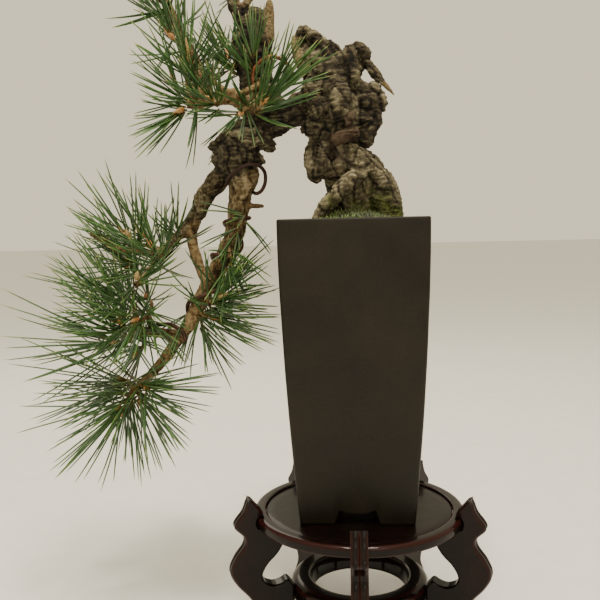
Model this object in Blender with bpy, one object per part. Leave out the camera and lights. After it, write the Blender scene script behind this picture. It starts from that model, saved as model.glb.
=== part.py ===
"""Cascade black pine bonsai in a tall square pot, on a round lacquered stand with five scroll legs.

Lengths below are millimetres. Points are measured from the middle of the pot's foot, with +X to the
right, +Y to the back and +Z up, and the two empties turn them into metres on the ground.
"""

import math

import bmesh
import bpy
import numpy as np
from mathutils import Vector

MM = 0.001
FIT_GAP = 0.3  # left between pieces that rest on or in each other

# Where the pot's foot stands, from the middle of the whole object's footprint
POT_X = 98.5
POT_Y = 2.0

# Stand
STAND_RISE = 104.0  # ground to the panel that carries the pot
STAND_OFFSET = (1.0, -4.0)  # the pot stands a little off the stand's middle
DISC_RADIUS = 94.5
RIM_INNER_RADIUS = 84.0
RIM_TOP = 1.5
RIM_BOTTOM = -8.0
PANEL_THICKNESS = 6.0
LEG_COUNT = 5
LEG_THICKNESS = 14.0
RING_INNER_RADIUS = 45.0
RING_OUTER_RADIUS = 62.0
RING_TOP = -62.0
RING_BOTTOM = -79.0
TURNED_SEGMENTS = 48

# Pot
POT_HEIGHT = 260.0
POT_TOP_HALF = 62.5
POT_TAPER = 13.2  # how much narrower each half is at the foot
POT_BOW = 1.7  # exponent of the side's gentle outward bow
POT_CORNER = 4.0
POT_WALL = 7.0
POT_FLOOR_BOTTOM = 13.0
POT_FLOOR_TOP = 23.0
DRAIN_RADIUS = 9.0
NOTCH_FOOT_HALF = 20.0
NOTCH_TOP_HALF = 15.5
NOTCH_HEIGHT = 12.4
NOTCH_SAG = 3.4  # how far the middle of the notch's top edge hangs down

# Filling
MESH_SIDE = 30.0
MESH_THICKNESS = 1.2
MESH_HOLES = 4
CLIP_RADIUS = 0.8
GRAVEL_TOP = 60.0
SOIL_TOP = 248.0
MOSS_RISE = 13.0
ROOT_ROOM = 2.4  # how much wider than the roots their room in the soil and the moss is

# Tree: each route is a list of (x, y, z, radius) from its thick end to its thin end
TRUNK = [
    (4, 10, 232, 18), (5, 8, 256, 26), (5, 5, 274, 27), (1, 3, 290, 28), (-7, 0, 305, 26),
    (-14, -3, 320, 24), (-15, -4, 334, 26), (-12, -3, 350, 29), (-13, -1, 368, 29),
    (-18, 1, 384, 28), (-27, 3, 399, 23), (-34, 4, 412, 16), (-39, 5, 421, 9),
]
ROOTS = {
    "right": [(4, 0, 302, 16), (17, -6, 285, 15), (29, -10, 267, 12), (37, -12, 251, 8), (41, -14, 238, 5)],
    "left": [(-4, -2, 292, 14), (-17, -8, 275, 11), (-28, -14, 259, 8), (-36, -18, 244, 5)],
    "front": [(2, -6, 284, 12), (3, -22, 268, 9), (4, -34, 246, 5)],
    "back_left": [(-4, 10, 276, 16), (-20, 24, 262, 11), (-34, 36, 242, 5)],
    "back_right": [(10, 12, 276, 16), (26, 26, 262, 10), (36, 38, 242, 5)],
}
BURLS = {
    "right_high": [(-6, -3, 362, 22), (10, -7, 362, 19), (20, -9, 360, 11)],
    "right_middle": [(-6, -4, 346, 22), (9, -8, 346, 18), (18, -10, 344, 10)],
    "right_low": [(-6, -4, 334, 18), (8, -9, 331, 13), (13, -11, 328, 8)],
    "top": [(-14, 1, 392, 20), (2, 2, 401, 15), (8, 2, 404, 9)],
    "left": [(-14, -3, 318, 18), (-28, -6, 309, 13), (-33, -6, 300, 8)],
    "bend_right": [(-92, -6, 331, 15), (-79, -12, 329, 9), (-72, -14, 326, 6)],
    "bend_left": [(-104, -4, 330, 16), (-117, -2, 329, 9), (-123, -2, 327, 6)],
}
BRANCHES = {
    "bridge": [
        (-12, -2, 372, 20), (-30, -6, 364, 18), (-46, -8, 355, 15), (-62, -8, 348, 14),
        (-78, -6, 341, 17), (-92, -5, 334, 20), (-101, -5, 325, 21), (-102, -6, 314, 17), (-100, -8, 303, 11),
    ],
    "cascade": [
        (-101, -6, 318, 16), (-99, -8, 304, 11.5), (-99, -10, 288, 9.5), (-101, -12, 266, 9),
        (-104, -13, 251, 8.5), (-111, -12, 236, 8), (-128, -8, 208, 7), (-140, -6, 186, 7),
        (-149, -8, 168, 6), (-159, -10, 156, 5.5), (-170, -12, 140, 5), (-185, -14, 124, 4), (-201, -14, 109, 3),
    ],
    "second": [
        (-103, -4, 315, 12), (-114, 3, 305, 10), (-126, 8, 293, 9.5), (-137, 12, 281, 8.5),
        (-142, 14, 269, 7.5), (-152, 14, 258, 6), (-163, 8, 245, 4.5), (-173, 0, 234, 3),
    ],
    "tan": [(-145, 14, 266, 6), (-148, 12, 247, 5), (-144, 6, 231, 4.8), (-138, 0, 217, 4.6), (-131, -7, 205, 4.5)],
    "low_left": [(-157, -10, 158, 5.5), (-173, -8, 161, 5), (-188, -4, 163, 4), (-202, -2, 166, 3)],
    "upper": [(-72, -6, 346, 11), (-86, -13, 358, 8.5), (-99, -18, 365, 7), (-113, -20, 366, 6), (-134, -20, 361, 4)],
    "upper_left": [
        (-120, -20, 364, 5.5), (-127, -16, 379, 4.8), (-134, -10, 397, 4.8), (-143, -6, 414, 5),
        (-151, -2, 431, 4.6), (-161, 2, 453, 3.8), (-168, 2, 476, 2.8),
    ],
    "stump": [
        (-62, -3, 351, 13), (-78, 6, 368, 15), (-85, 11, 388, 16), (-88, 13, 410, 18), (-87, 14, 428, 17),
        (-85, 14, 438, 12),
    ],
    "prong": [(-92, 12, 424, 9), (-98, 12, 438, 5.5), (-104, 12, 452, 5), (-108, 12, 465, 3)],
    "prong_fork": [(-100, 12, 443, 5), (-90, 14, 457, 4), (-81, 14, 470, 2.6)],
    "crown": [(-104, 12, 450, 5), (-101, 17, 464, 3.6), (-97, 21, 474, 2.6)],
    "pale_prong": [(-75, 10, 422, 8), (-72, 10, 438, 5.2), (-71, 10, 452, 3.5)],
    "jin": [(6, 2, 403, 9), (15, 0, 396, 5), (25, -4, 384, 4.5), (32, -6, 374, 3), (37, -8, 367, 1.8)],
    "front_stub": [(-76, 4, 366, 12), (-76, -8, 370, 11), (-77, -19, 367, 8), (-77, -25, 362, 5)],
    "short_stub": [(-98, -12, 275, 4), (-89, -12, 273.5, 2.4), (-84, -12, 273, 2), (-79, -12, 273, 1.8)],
    "dead_tip": [(-200, -4, 236, 2.5), (-212, -6, 237, 3.2), (-226, -8, 248, 3.4), (-234, -10, 252, 2.4)],
}
BARE_BRANCHES = ("bridge", "jin", "dead_tip", "short_stub")  # no twig starts from these
WOOD_VOXEL = 1.3  # the limbs are blended into one body at this grain
WOOD_KEEP = 0.016  # the share of the blended surface's faces that is kept
ROOM_KEEP = 0.035
TWIG_START_RADIUS = 2.8
TWIG_END_RADIUS = 1.9

# Needle tufts: where each shoot's needles begin, which way it points, and how long its needles are
TUFTS = {
    "middle_1": ((-174, -12, 231), (-7, -4, 14), 74), "middle_2": ((-190, 8, 245), (-13, 4, 17), 72),
    "middle_3": ((-199, -4, 243), (-13, -4, 18), 70), "middle_4": ((-190, -30, 209), (10, -20, 16), 60),
    "middle_5": ((-207, -16, 168), (-13, -8, 17), 84), "middle_6": ((-211, 14, 191), (-20, 8, 8), 90),
    "middle_7": ((-210, 26, 218), (-19, 8, 8), 86), "middle_8": ((-195, 32, 188), (-14, 16, 10), 64),
    "middle_9": ((-178, 26, 230), (8, 12, 17), 60), "middle_10": ((-213, 0, 152), (-24, -2, 2), 108),
    "middle_11": ((-203, 20, 142), (-20, 10, -14), 100), "middle_12": ((-186, -26, 178), (-12, -18, -4), 66),
    "tip_1": ((-206, -14, 103), (-11, -2, -14), 96), "tip_2": ((-190, -24, 117), (15, -12, -6), 78),
    "tip_3": ((-211, -2, 117), (-20, 8, 0), 106), "tip_4": ((-200, 4, 102), (-5, 8, -17), 80),
    "right_1": ((-130, -18, 177), (20, -8, -5), 66), "right_2": ((-122, -27, 191), (18, -12, 10), 60),
    "right_3": ((-97, -27, 257), (-8, -8, -18), 46), "right_4": ((-107, -27, 229), (-2, -12, -20), 50),
    "right_5": ((-146, 5, 173), (5, 6, -16), 70), "right_6": ((-128, 14, 190), (14, 16, 8), 60),
    "upper_1": ((-77, -34, 354), (15, -14, 10), 66), "upper_2": ((-90, -36, 352), (-3, -16, -8), 52),
    "upper_3": ((-114, -38, 358), (-5, -14, 4), 54), "upper_4": ((-139, -26, 358), (-12, -8, -6), 68),
    "upper_5": ((-146, -18, 368), (-6, -6, 15), 66), "upper_6": ((-139, -19, 393), (0, -6, 17), 64),
    "upper_7": ((-149, -12, 415), (-12, -4, 13), 68), "upper_8": ((-160, 8, 438), (-15, 10, 12), 62),
    "upper_9": ((-166, -6, 454), (-9, -8, 10), 60), "upper_10": ((-169, 2, 481), (-6, 0, 17), 56),
    "upper_11": ((-110, 14, 402), (-4, 10, 20), 60), "upper_12": ((-123, 12, 389), (-10, 20, 20), 60),
    "upper_13": ((-104, 14, 356), (-14, 20, -6), 56), "crown_1": ((-110, 12, 470), (-8, -4, 16), 56),
    "crown_2": ((-79, 13, 474), (10, -2, 16), 52), "crown_3": ((-96, 22, 479), (-2, 12, 20), 56),
}
TUFT_CORE_RADIUS = 4.6
TUFT_SPIKES = 15
SPIKE_CLEARANCE = 3.2
SPIKE_LEAN = 0.55  # how much the needles lean towards the shoot's tip
SPIKE_SHORTEST = 0.78  # the shortest bundle's share of its shoot's reach
SPIKE_ROOT = 2.5  # where a bundle's clearance is measured from, outside its facet
BACKMOST_FACET = -0.35  # facets that look further back along the twig than this stay plain
SEAT_GAP = 0.3  # more room between a twig's end and the tuft's core
SPIKE_GAP = 0.4
CHECKS_ALONG_SPIKE = 12
POT_ROOM = 3.0  # no needle comes nearer to the pot's block
STAND_ROOM_RADIUS = 128.0
STAND_ROOM_TOP = 25.0
SEED = 7

# Training wires. Those that stand off the bark are routes of (x, y, z) points with a wire radius.
LOOSE_WIRES = {
    "wire_bend": (1.6, [
        (-110, -16, 292), (-106, -22, 298), (-98, -26, 304), (-88, -27, 308), (-80, -23, 307), (-76, -16, 302),
        (-76, -13, 294), (-79, -13, 287), (-84, -13, 284), (-90, -8, 287),
    ]),
    "wire_low_left": (1.9, [
        (-190, 4, 160), (-191, -6, 161), (-187, -12, 165), (-179, -14, 169), (-171, -15, 170), (-164, -16, 170),
        (-157, -18, 167), (-152, -19, 163), (-150, -20, 157),
    ]),
    "wire_crown": (1.6, [
        (-84, -9, 377), (-85, -8, 388), (-80, -9, 396), (-71, -10, 401), (-62, -9, 400), (-54, -6, 394), (-50, 0, 386),
    ]),
}
# The one wound on the cascading branch: its radius, and stations of how far along the branch it is
# as a share of the branch's length, and how far round it is from the front, in degrees
WOUND_RADIUS = 1.9
WOUND_STATIONS = [
    (0.225, -75), (0.240, 0), (0.258, 90), (0.285, 180), (0.330, 270), (0.370, 360), (0.400, 450), (0.440, 540),
    (0.490, 630), (0.525, 690), (0.560, 740), (0.600, 800), (0.640, 860),
]


# --- Scene and materials ---


def clear_scene():
    for obj in list(bpy.data.objects):
        bpy.data.objects.remove(obj, do_unlink=True)


def material(name, colour, roughness, metallic=0.0):
    made = bpy.data.materials.new(name)
    made.use_nodes = True
    shader = made.node_tree.nodes["Principled BSDF"]
    shader.inputs["Base Color"].default_value = (*colour, 1.0)
    shader.inputs["Roughness"].default_value = roughness
    shader.inputs["Metallic"].default_value = metallic
    return made


def empty(name, place):
    obj = bpy.data.objects.new(name, None)
    obj.location = Vector(place) * MM
    bpy.context.scene.collection.objects.link(obj)
    return obj


def solid(name, points, faces, parent, finish, smooth=True):
    """A mesh object from points in millimetres, its faces turned outwards."""
    mesh = bpy.data.meshes.new(name)
    mesh.from_pydata([tuple(p) for p in np.asarray(points, float) * MM], [], [tuple(map(int, f)) for f in faces])
    work = bmesh.new()
    work.from_mesh(mesh)
    bmesh.ops.recalc_face_normals(work, faces=work.faces)
    work.to_mesh(mesh)
    work.free()
    if smooth:
        mesh.shade_smooth()
        mesh.set_sharp_from_angle(angle=math.radians(40))
    mesh.materials.append(finish)
    obj = bpy.data.objects.new(name, mesh)
    obj.parent = parent
    bpy.context.scene.collection.objects.link(obj)
    return obj


def make_cutter(obj):
    obj.hide_render = True
    obj.display_type = "WIRE"
    return obj


def boolean(obj, operation, other):
    """A live Boolean with one object, or with every object of a collection."""
    modifier = obj.modifiers.new(operation.lower(), "BOOLEAN")
    modifier.operation = operation
    modifier.solver = "EXACT"
    if isinstance(other, bpy.types.Collection):
        modifier.operand_type = "COLLECTION"
        modifier.collection = other
        modifier.use_self = True
    else:
        modifier.object = other


def blended(obj, keep):
    """Melts the limbs that an object is made of into one skin, then keeps this share of its faces."""
    skin = obj.modifiers.new("blend", "REMESH")
    skin.mode = "VOXEL"
    skin.voxel_size = WOOD_VOXEL * MM
    thin = obj.modifiers.new("thin", "DECIMATE")
    thin.ratio = keep
    return obj


def keep_largest_piece(obj):
    """Applies the object's modifiers and drops the crumbs that a Boolean left beside its main piece."""
    bpy.context.view_layer.update()
    work = bmesh.new()
    work.from_object(obj, bpy.context.evaluated_depsgraph_get())
    unseen = set(work.verts)
    pieces = []
    while unseen:
        edge_of_search = [unseen.pop()]
        piece = set(edge_of_search)
        while edge_of_search:
            near = {vert for edge in edge_of_search.pop().link_edges for vert in edge.verts} & unseen
            unseen -= near
            piece |= near
            edge_of_search.extend(near)
        pieces.append(piece)
    largest = max(pieces, key=len)
    bmesh.ops.delete(work, geom=[vert for vert in work.verts if vert not in largest], context="VERTS")
    obj.modifiers.clear()
    work.to_mesh(obj.data)
    work.free()


def cutter_collection(name, objects):
    """Moves helper objects into a collection of their own, for one Boolean to use together."""
    group = bpy.data.collections.new(name)
    bpy.context.scene.collection.children.link(group)
    for obj in objects:
        make_cutter(obj)
        bpy.context.scene.collection.objects.unlink(obj)
        group.objects.link(obj)
    return group


# --- Shapes ---


def smooth_route(points, step):
    """Points about `step` apart on the Catmull-Rom curve through `points`, whose columns may include a radius."""
    points = np.asarray(points, float)
    ends = np.vstack([2 * points[0] - points[1], points, 2 * points[-1] - points[-2]])
    rows = []
    for a, b, c, d in zip(ends, ends[1:], ends[2:], ends[3:]):
        count = max(1, round(np.linalg.norm((c - b)[:3]) / step))
        for t in np.arange(count) / count:
            curve = 2 * b + (c - a) * t + (2 * a - 5 * b + 4 * c - d) * t**2 + (3 * b - a - 3 * c + d) * t**3
            rows.append(0.5 * curve)
    rows.append(points[-1])
    return np.array(rows)


def frames_along(route):
    """Two unit vectors across the route at each point, carried along it without twist."""
    tangents = np.gradient(route, axis=0)
    tangents /= np.linalg.norm(tangents, axis=1, keepdims=True)
    side = np.cross(tangents[0], (0.0, 1.0, 0.0))
    if np.linalg.norm(side) < 0.1:
        side = np.cross(tangents[0], (1.0, 0.0, 0.0))
    sides = []
    for tangent in tangents:
        side = side - tangent * (side @ tangent)
        side = side / np.linalg.norm(side)
        sides.append(side)
    sides = np.array(sides)
    return sides, np.cross(tangents, sides), tangents


def skin_rings(rings):
    """Closes a stack of equal rings of points into a tube with flat end faces."""
    count, sides = len(rings), len(rings[0])
    faces = []
    for i in range(count - 1):
        for j in range(sides):
            k = (j + 1) % sides
            faces.append((i * sides + j, i * sides + k, (i + 1) * sides + k, (i + 1) * sides + j))
    faces.append(range(sides - 1, -1, -1))
    faces.append(range((count - 1) * sides, count * sides))
    return np.vstack(rings), faces


def limb(route, sides=9, step=9.0, knobbly=0.0, phase=0.0):
    """Points and faces of a tapering limb along (x, y, z, radius) points, lobed by `knobbly`, with a rounded end."""
    rows = smooth_route(route, step)
    tangent = rows[-1, :3] - rows[-2, :3]
    tangent /= np.linalg.norm(tangent)
    last = rows[-1]
    rows = np.vstack([rows, [*(last[:3] + tangent * last[3] * 0.6), last[3] * 0.62]])
    across, up, _ = frames_along(rows[:, :3])
    angles = np.arange(sides) * 2 * math.pi / sides
    rings = []
    for i, row in enumerate(rows):
        lobes = 1 + knobbly * np.cos(3 * angles + phase + 0.7 * i) + 0.6 * knobbly * np.cos(2 * angles - 0.5 * i)
        spokes = np.outer(np.cos(angles) * lobes, across[i]) + np.outer(np.sin(angles) * lobes, up[i])
        rings.append(row[:3] + spokes * row[3])
    return skin_rings(rings)


def joined(shapes):
    """Several (points, faces) shapes as one."""
    points = []
    faces = []
    count = 0
    for shape_points, shape_faces in shapes:
        points.append(shape_points)
        faces.extend([[count + i for i in face] for face in shape_faces])
        count += len(shape_points)
    return np.vstack(points), faces


def tube(name, route, radius, parent, finish, sides=8):
    """A wire of one radius along a route, with flat ends."""
    across, up, _ = frames_along(route)
    angles = np.arange(sides) * 2 * math.pi / sides
    rings = [
        point + radius * (np.outer(np.cos(angles), a) + np.outer(np.sin(angles), u))
        for point, a, u in zip(route, across, up)
    ]
    return solid(name, *skin_rings(rings), parent, finish)


def turned(name, profile, parent, finish, segments=TURNED_SEGMENTS, closed=True):
    """A shape turned about the Z axis from (radius, z) points. A closed profile makes a ring."""
    angles = np.arange(segments) * 2 * math.pi / segments
    rings = np.array([[(r * math.cos(a), r * math.sin(a), z) for r, z in profile] for a in angles])
    count = len(profile)
    faces = []
    for i in range(segments):
        following = (i + 1) % segments
        for j in range(count if closed else count - 1):
            k = (j + 1) % count
            faces.append((i * count + j, following * count + j, following * count + k, i * count + k))
    if not closed:
        faces.append([i * count for i in range(segments)])
        faces.append([i * count + count - 1 for i in range(segments)])
    return solid(name, rings.reshape(-1, 3), faces, parent, finish)


def rounded_square(half, corner, z, steps=3):
    """Points round a square of this half width at height z, with rounded corners."""
    points = []
    for quarter in range(4):
        turn = quarter * math.pi / 2
        middle = (half - corner) * math.sqrt(2)
        cx = middle * math.cos(turn + math.pi / 4)
        cy = middle * math.sin(turn + math.pi / 4)
        for i in range(steps + 1):
            angle = turn + i * math.pi / 2 / steps
            points.append((cx + corner * math.cos(angle), cy + corner * math.sin(angle), z))
    return points


def square_block(name, halves_and_heights, corner, parent, finish):
    """A lofted square block from (half width, z) pairs."""
    rings = [np.array(rounded_square(half, corner, z)) for half, z in halves_and_heights]
    return solid(name, *skin_rings(rings), parent, finish)


def prism(name, outline, thickness, parent, finish):
    """An outline in the XZ plane extruded equally to both sides of Y = 0."""
    outline = np.asarray(outline, float)
    faces_at = (-thickness / 2, thickness / 2)
    rings = [np.column_stack([outline[:, 0], np.full(len(outline), y), outline[:, 1]]) for y in faces_at]
    return solid(name, *skin_rings(rings), parent, finish)


def joined_curves(*stretches, step=5.0):
    """An outline from stretches that are each smooth and meet at corners."""
    points = []
    for stretch in stretches:
        flat = np.column_stack([np.asarray(stretch, float), np.zeros(len(stretch))])
        points.extend(smooth_route(flat, step)[:-1, :2])
    return points


# --- Stand ---


def leg_outline():
    """Side view of a leg as (distance from the axis, height): horn, shoulder, neck, belly, ankle and foot."""
    foot = -STAND_RISE
    beside_ring = RING_OUTER_RADIUS + FIT_GAP + 0.4
    below_disc = RIM_BOTTOM - FIT_GAP
    beside_rim = DISC_RADIUS + 0.4
    above_rim = RIM_TOP + FIT_GAP
    outer = [
        (101, 19), (107, 7), (115, -5), (107, -15), (107, -23), (115, -34), (119.5, -46), (114, -58), (103, -71),
        (98, -82), (103, -94), (109, foot),
    ]
    sole = [(109, foot), (92, foot)]
    heel = [(92, foot), (88, -92), (78, -84), (beside_ring, RING_BOTTOM)]
    ring_face = [(beside_ring, RING_BOTTOM), (beside_ring, -63)]
    hook = [
        (beside_ring, -63), (68, -57.5), (74, -60), (81, -61), (89, -57), (91, -50), (86, -41), (77, -32), (70, -20),
        (67, below_disc),
    ]
    under_disc = [(67, below_disc), (beside_rim, below_disc)]
    beside_disc = [(beside_rim, below_disc), (beside_rim, above_rim)]
    over_rim = [(beside_rim, above_rim), (88.5, above_rim)]
    horn = [(88.5, above_rim), (90, 7), (95, 13), (101, 19)]
    return joined_curves(outer, sole, heel, ring_face, hook, under_disc, beside_disc, over_rim, horn)


def make_stand(axis, lacquer):
    rim = [
        (RIM_INNER_RADIUS + FIT_GAP, RIM_BOTTOM), (DISC_RADIUS - 2, RIM_BOTTOM), (DISC_RADIUS, RIM_BOTTOM + 3),
        (DISC_RADIUS, RIM_TOP - 2.5), (DISC_RADIUS - 1.8, RIM_TOP - 0.4), (DISC_RADIUS - 4, RIM_TOP),
        (RIM_INNER_RADIUS + 3, RIM_TOP), (RIM_INNER_RADIUS + FIT_GAP, RIM_TOP - 1.8),
    ]
    turned("stand_rim", rim, axis, lacquer)
    panel_top = -FIT_GAP
    panel = [
        (RIM_INNER_RADIUS - 1, panel_top), (RIM_INNER_RADIUS, panel_top - 1),
        (RIM_INNER_RADIUS, panel_top - PANEL_THICKNESS),
    ]
    turned("stand_panel", panel, axis, lacquer, closed=False)
    ring = [
        (RING_INNER_RADIUS - 3, RING_BOTTOM), (RING_OUTER_RADIUS - 1, RING_BOTTOM), (RING_OUTER_RADIUS, RING_BOTTOM + 2),
        (RING_OUTER_RADIUS, RING_TOP - 6), (RING_OUTER_RADIUS - 1.5, RING_TOP - 2), (RING_OUTER_RADIUS - 5, RING_TOP),
        (RING_INNER_RADIUS + 1, RING_TOP), (RING_INNER_RADIUS, RING_TOP - 1.5),
    ]
    turned("stand_stretcher_ring", ring, axis, lacquer)
    first = prism("stand_leg_1", leg_outline(), LEG_THICKNESS, axis, lacquer)
    for index in range(LEG_COUNT):
        leg = first
        if index:
            leg = bpy.data.objects.new(f"stand_leg_{index + 1}", first.data)
            leg.parent = axis
            bpy.context.scene.collection.objects.link(leg)
        leg.rotation_euler.z = -math.pi / 2 + index * 2 * math.pi / LEG_COUNT


# --- Pot and its filling ---


def pot_half(z):
    """Half the pot's outer width at height z."""
    return POT_TOP_HALF - POT_TAPER * max(0.0, 1 - z / POT_HEIGHT) ** POT_BOW


def inner_half(z):
    return pot_half(z) - POT_WALL


def make_pot(seat, clay):
    heights = np.linspace(0, POT_HEIGHT - 1, 11)
    shell = [(pot_half(z), z) for z in heights] + [(POT_TOP_HALF - 0.8, POT_HEIGHT)]
    pot = square_block("pot", shell, POT_CORNER, seat, clay)
    room = [(inner_half(z), z) for z in np.linspace(POT_FLOOR_TOP, POT_HEIGHT + 2, 9)]
    boolean(pot, "DIFFERENCE", make_cutter(square_block("cut_room", room, POT_CORNER, seat, clay)))
    foot_half = pot_half(0) - 2 * POT_CORNER
    recess = [(foot_half, -2), (foot_half, POT_FLOOR_BOTTOM)]
    boolean(pot, "DIFFERENCE", make_cutter(square_block("cut_foot_recess", recess, POT_CORNER, seat, clay)))
    drain = turned("cut_drain", [(DRAIN_RADIUS, 5), (DRAIN_RADIUS, 30)], seat, clay, segments=24, closed=False)
    boolean(pot, "DIFFERENCE", make_cutter(drain))
    outline = joined_curves(
        [(-NOTCH_FOOT_HALF, -2), (NOTCH_FOOT_HALF, -2)],
        [(NOTCH_FOOT_HALF, -2), (NOTCH_TOP_HALF, NOTCH_HEIGHT)],
        [(NOTCH_TOP_HALF, NOTCH_HEIGHT), (0, NOTCH_HEIGHT - NOTCH_SAG), (-NOTCH_TOP_HALF, NOTCH_HEIGHT)],
        [(-NOTCH_TOP_HALF, NOTCH_HEIGHT), (-NOTCH_FOOT_HALF, -2)],
    )
    for name, turn in (("cut_notches_front", 0.0), ("cut_notches_side", math.pi / 2)):
        notch = make_cutter(prism(name, outline, 3 * POT_TOP_HALF, seat, clay))
        notch.rotation_euler.z = turn
        boolean(pot, "DIFFERENCE", notch)
    return pot


def make_drain_mesh(seat, plastic, wire):
    """A square of plastic mesh over the drain hole, held by a bent wire clip."""
    cells = 2 * MESH_HOLES + 1
    work = bmesh.new()
    bmesh.ops.create_grid(work, x_segments=cells, y_segments=cells, size=MESH_SIDE / 2 * MM)
    pitch = MESH_SIDE / cells * MM
    holes = []
    for face in work.faces:
        column, row = (int((value / pitch) + cells / 2) for value in face.calc_center_median()[:2])
        if column % 2 and row % 2:
            holes.append(face)
    bmesh.ops.delete(work, geom=holes, context="FACES")
    raised = bmesh.ops.extrude_face_region(work, geom=work.faces[:], use_keep_orig=True)
    tops = [item for item in raised["geom"] if isinstance(item, bmesh.types.BMVert)]
    bmesh.ops.translate(work, verts=tops, vec=(0, 0, MESH_THICKNESS * MM))
    bmesh.ops.translate(work, verts=work.verts, vec=(0, 0, (POT_FLOOR_TOP + FIT_GAP) * MM))
    bmesh.ops.recalc_face_normals(work, faces=work.faces)
    mesh = bpy.data.meshes.new("drain_mesh")
    work.to_mesh(mesh)
    work.free()
    mesh.materials.append(plastic)
    screen = bpy.data.objects.new("drain_mesh", mesh)
    screen.parent = seat
    bpy.context.scene.collection.objects.link(screen)
    leg = MESH_SIDE / cells
    over = POT_FLOOR_TOP + FIT_GAP + MESH_THICKNESS + FIT_GAP + CLIP_RADIUS
    under = POT_FLOOR_BOTTOM - FIT_GAP - CLIP_RADIUS
    route = [
        (-15, leg, under), (-leg - 1.5, leg, under), (-leg, leg, under + 2), (-leg, leg, over - 1.5),
        (1 - leg, leg, over),
    ]
    route += [(-x, y, z) for x, y, z in reversed(route)]
    tube("drain_mesh_clip", np.array(route, float), CLIP_RADIUS, seat, wire, sides=8)


def make_filling(seat, gravel_finish, soil_finish, moss_finish, roots):
    gap = FIT_GAP
    low = POT_FLOOR_TOP + gap
    gravel = [(inner_half(z) - gap, z) for z in np.linspace(low, GRAVEL_TOP, 4)]
    gravel = square_block("drainage_gravel", gravel, POT_CORNER, seat, gravel_finish)
    pocket = MESH_SIDE / 2 + 1
    cut = [(pocket, low - 2), (pocket, low + MESH_THICKNESS + 2 * gap + 2 * CLIP_RADIUS + gap)]
    boolean(gravel, "DIFFERENCE", make_cutter(square_block("cut_mesh_pocket", cut, 1.0, seat, gravel_finish)))
    soil = [(inner_half(z) - gap, z) for z in np.linspace(GRAVEL_TOP + gap, SOIL_TOP, 9)]
    soil = square_block("soil", soil, POT_CORNER, seat, soil_finish)
    boolean(soil, "DIFFERENCE", roots)
    moss = moss_mound(seat, moss_finish)
    boolean(moss, "DIFFERENCE", roots)
    keep_largest_piece(moss)


def moss_mound(seat, finish):
    """A square of moss that domes up towards the trunk, thin at the pot's walls."""
    count = 13
    half = inner_half(SOIL_TOP) - FIT_GAP - 0.5
    axis = np.linspace(-half, half, count)
    x, y = np.meshgrid(axis, axis, indexing="ij")
    dome = np.cos(x / half * math.pi / 2) * np.cos(y / half * math.pi / 2)
    lumps = 1.3 * np.sin(0.31 * x + 0.4) * np.cos(0.27 * y - 0.8)
    top = SOIL_TOP + FIT_GAP + 3.0 + MOSS_RISE * dome + lumps * dome
    inset = 1 - 0.035 * np.abs(x * y / half**2) ** 20  # draws the corners in from the room's rounded corners
    x, y = x * inset, y * inset
    upper = np.column_stack([x.ravel(), y.ravel(), top.ravel()])
    lower = np.column_stack([x.ravel(), y.ravel(), np.full(x.size, SOIL_TOP + FIT_GAP)])
    total = count * count
    faces = []
    for i in range(count - 1):
        for j in range(count - 1):
            a, b, c, d = i * count + j, (i + 1) * count + j, (i + 1) * count + j + 1, i * count + j + 1
            faces.append((a, b, c, d))
            faces.append((total + a, total + d, total + c, total + b))
    border = [i * count for i in range(count)] + [(count - 1) * count + j for j in range(1, count)]
    border += [i * count + count - 1 for i in range(count - 2, -1, -1)] + list(range(count - 2, 0, -1))
    for a, b in zip(border, border[1:] + border[:1]):
        faces.append((a, b, total + b, total + a))
    return solid("moss", np.vstack([upper, lower]), faces, seat, finish)


# --- Tree ---


def branch_point(route, share):
    """The point, radius and direction at this share of a route's length."""
    rows = smooth_route(route, 3.0)
    lengths = np.concatenate([[0], np.cumsum(np.linalg.norm(np.diff(rows[:, :3], axis=0), axis=1))])
    return np.array([np.interp(share * lengths[-1], lengths, rows[:, k]) for k in range(4)])


def wound_route(route, stations, wire_radius):
    """A wire's route round a branch, touching its bark. Angles start at the front and grow to the left."""
    shares, degrees = np.array(stations, float).T
    angles = np.arange(degrees[0], degrees[-1], 24.0)
    rows = np.array([branch_point(route, share) for share in np.interp(angles, degrees, shares)])
    tangents = np.gradient(rows[:, :3], axis=0)
    tangents /= np.linalg.norm(tangents, axis=1, keepdims=True)
    front = np.array((0.0, -1.0, 0.0)) - tangents * -tangents[:, 1:2]
    front /= np.linalg.norm(front, axis=1, keepdims=True)
    left = np.cross(tangents, front)
    angles = np.radians(angles)[:, None]
    return rows[:, :3] + (front * np.cos(angles) + left * np.sin(angles)) * (rows[:, 3:] + wire_radius + FIT_GAP)


def leafy_centres():
    """Points along every branch that twigs may start from."""
    return np.vstack([smooth_route(route, 3.0) for name, route in BRANCHES.items() if name not in BARE_BRANCHES])


def twig_route(base, direction, wood):
    """A twig from the nearest wood that bends to leave in the shoot's direction."""
    base = np.array(base, float)
    nearest = wood[np.argmin(np.linalg.norm(wood[:, :3] - base, axis=1) - 0.5 * wood[:, 3])]
    start = nearest[:3]
    length = np.linalg.norm(base - start)
    bend = base - direction * 0.45 * length
    rows = []
    for t in (0.0, 0.3, 0.6, 0.8, 1.0):
        point = (1 - t) ** 2 * start + 2 * t * (1 - t) * bend + t**2 * base
        rows.append((*point, TWIG_START_RADIUS + (TWIG_END_RADIUS - TWIG_START_RADIUS) * t))
    return rows


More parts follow.
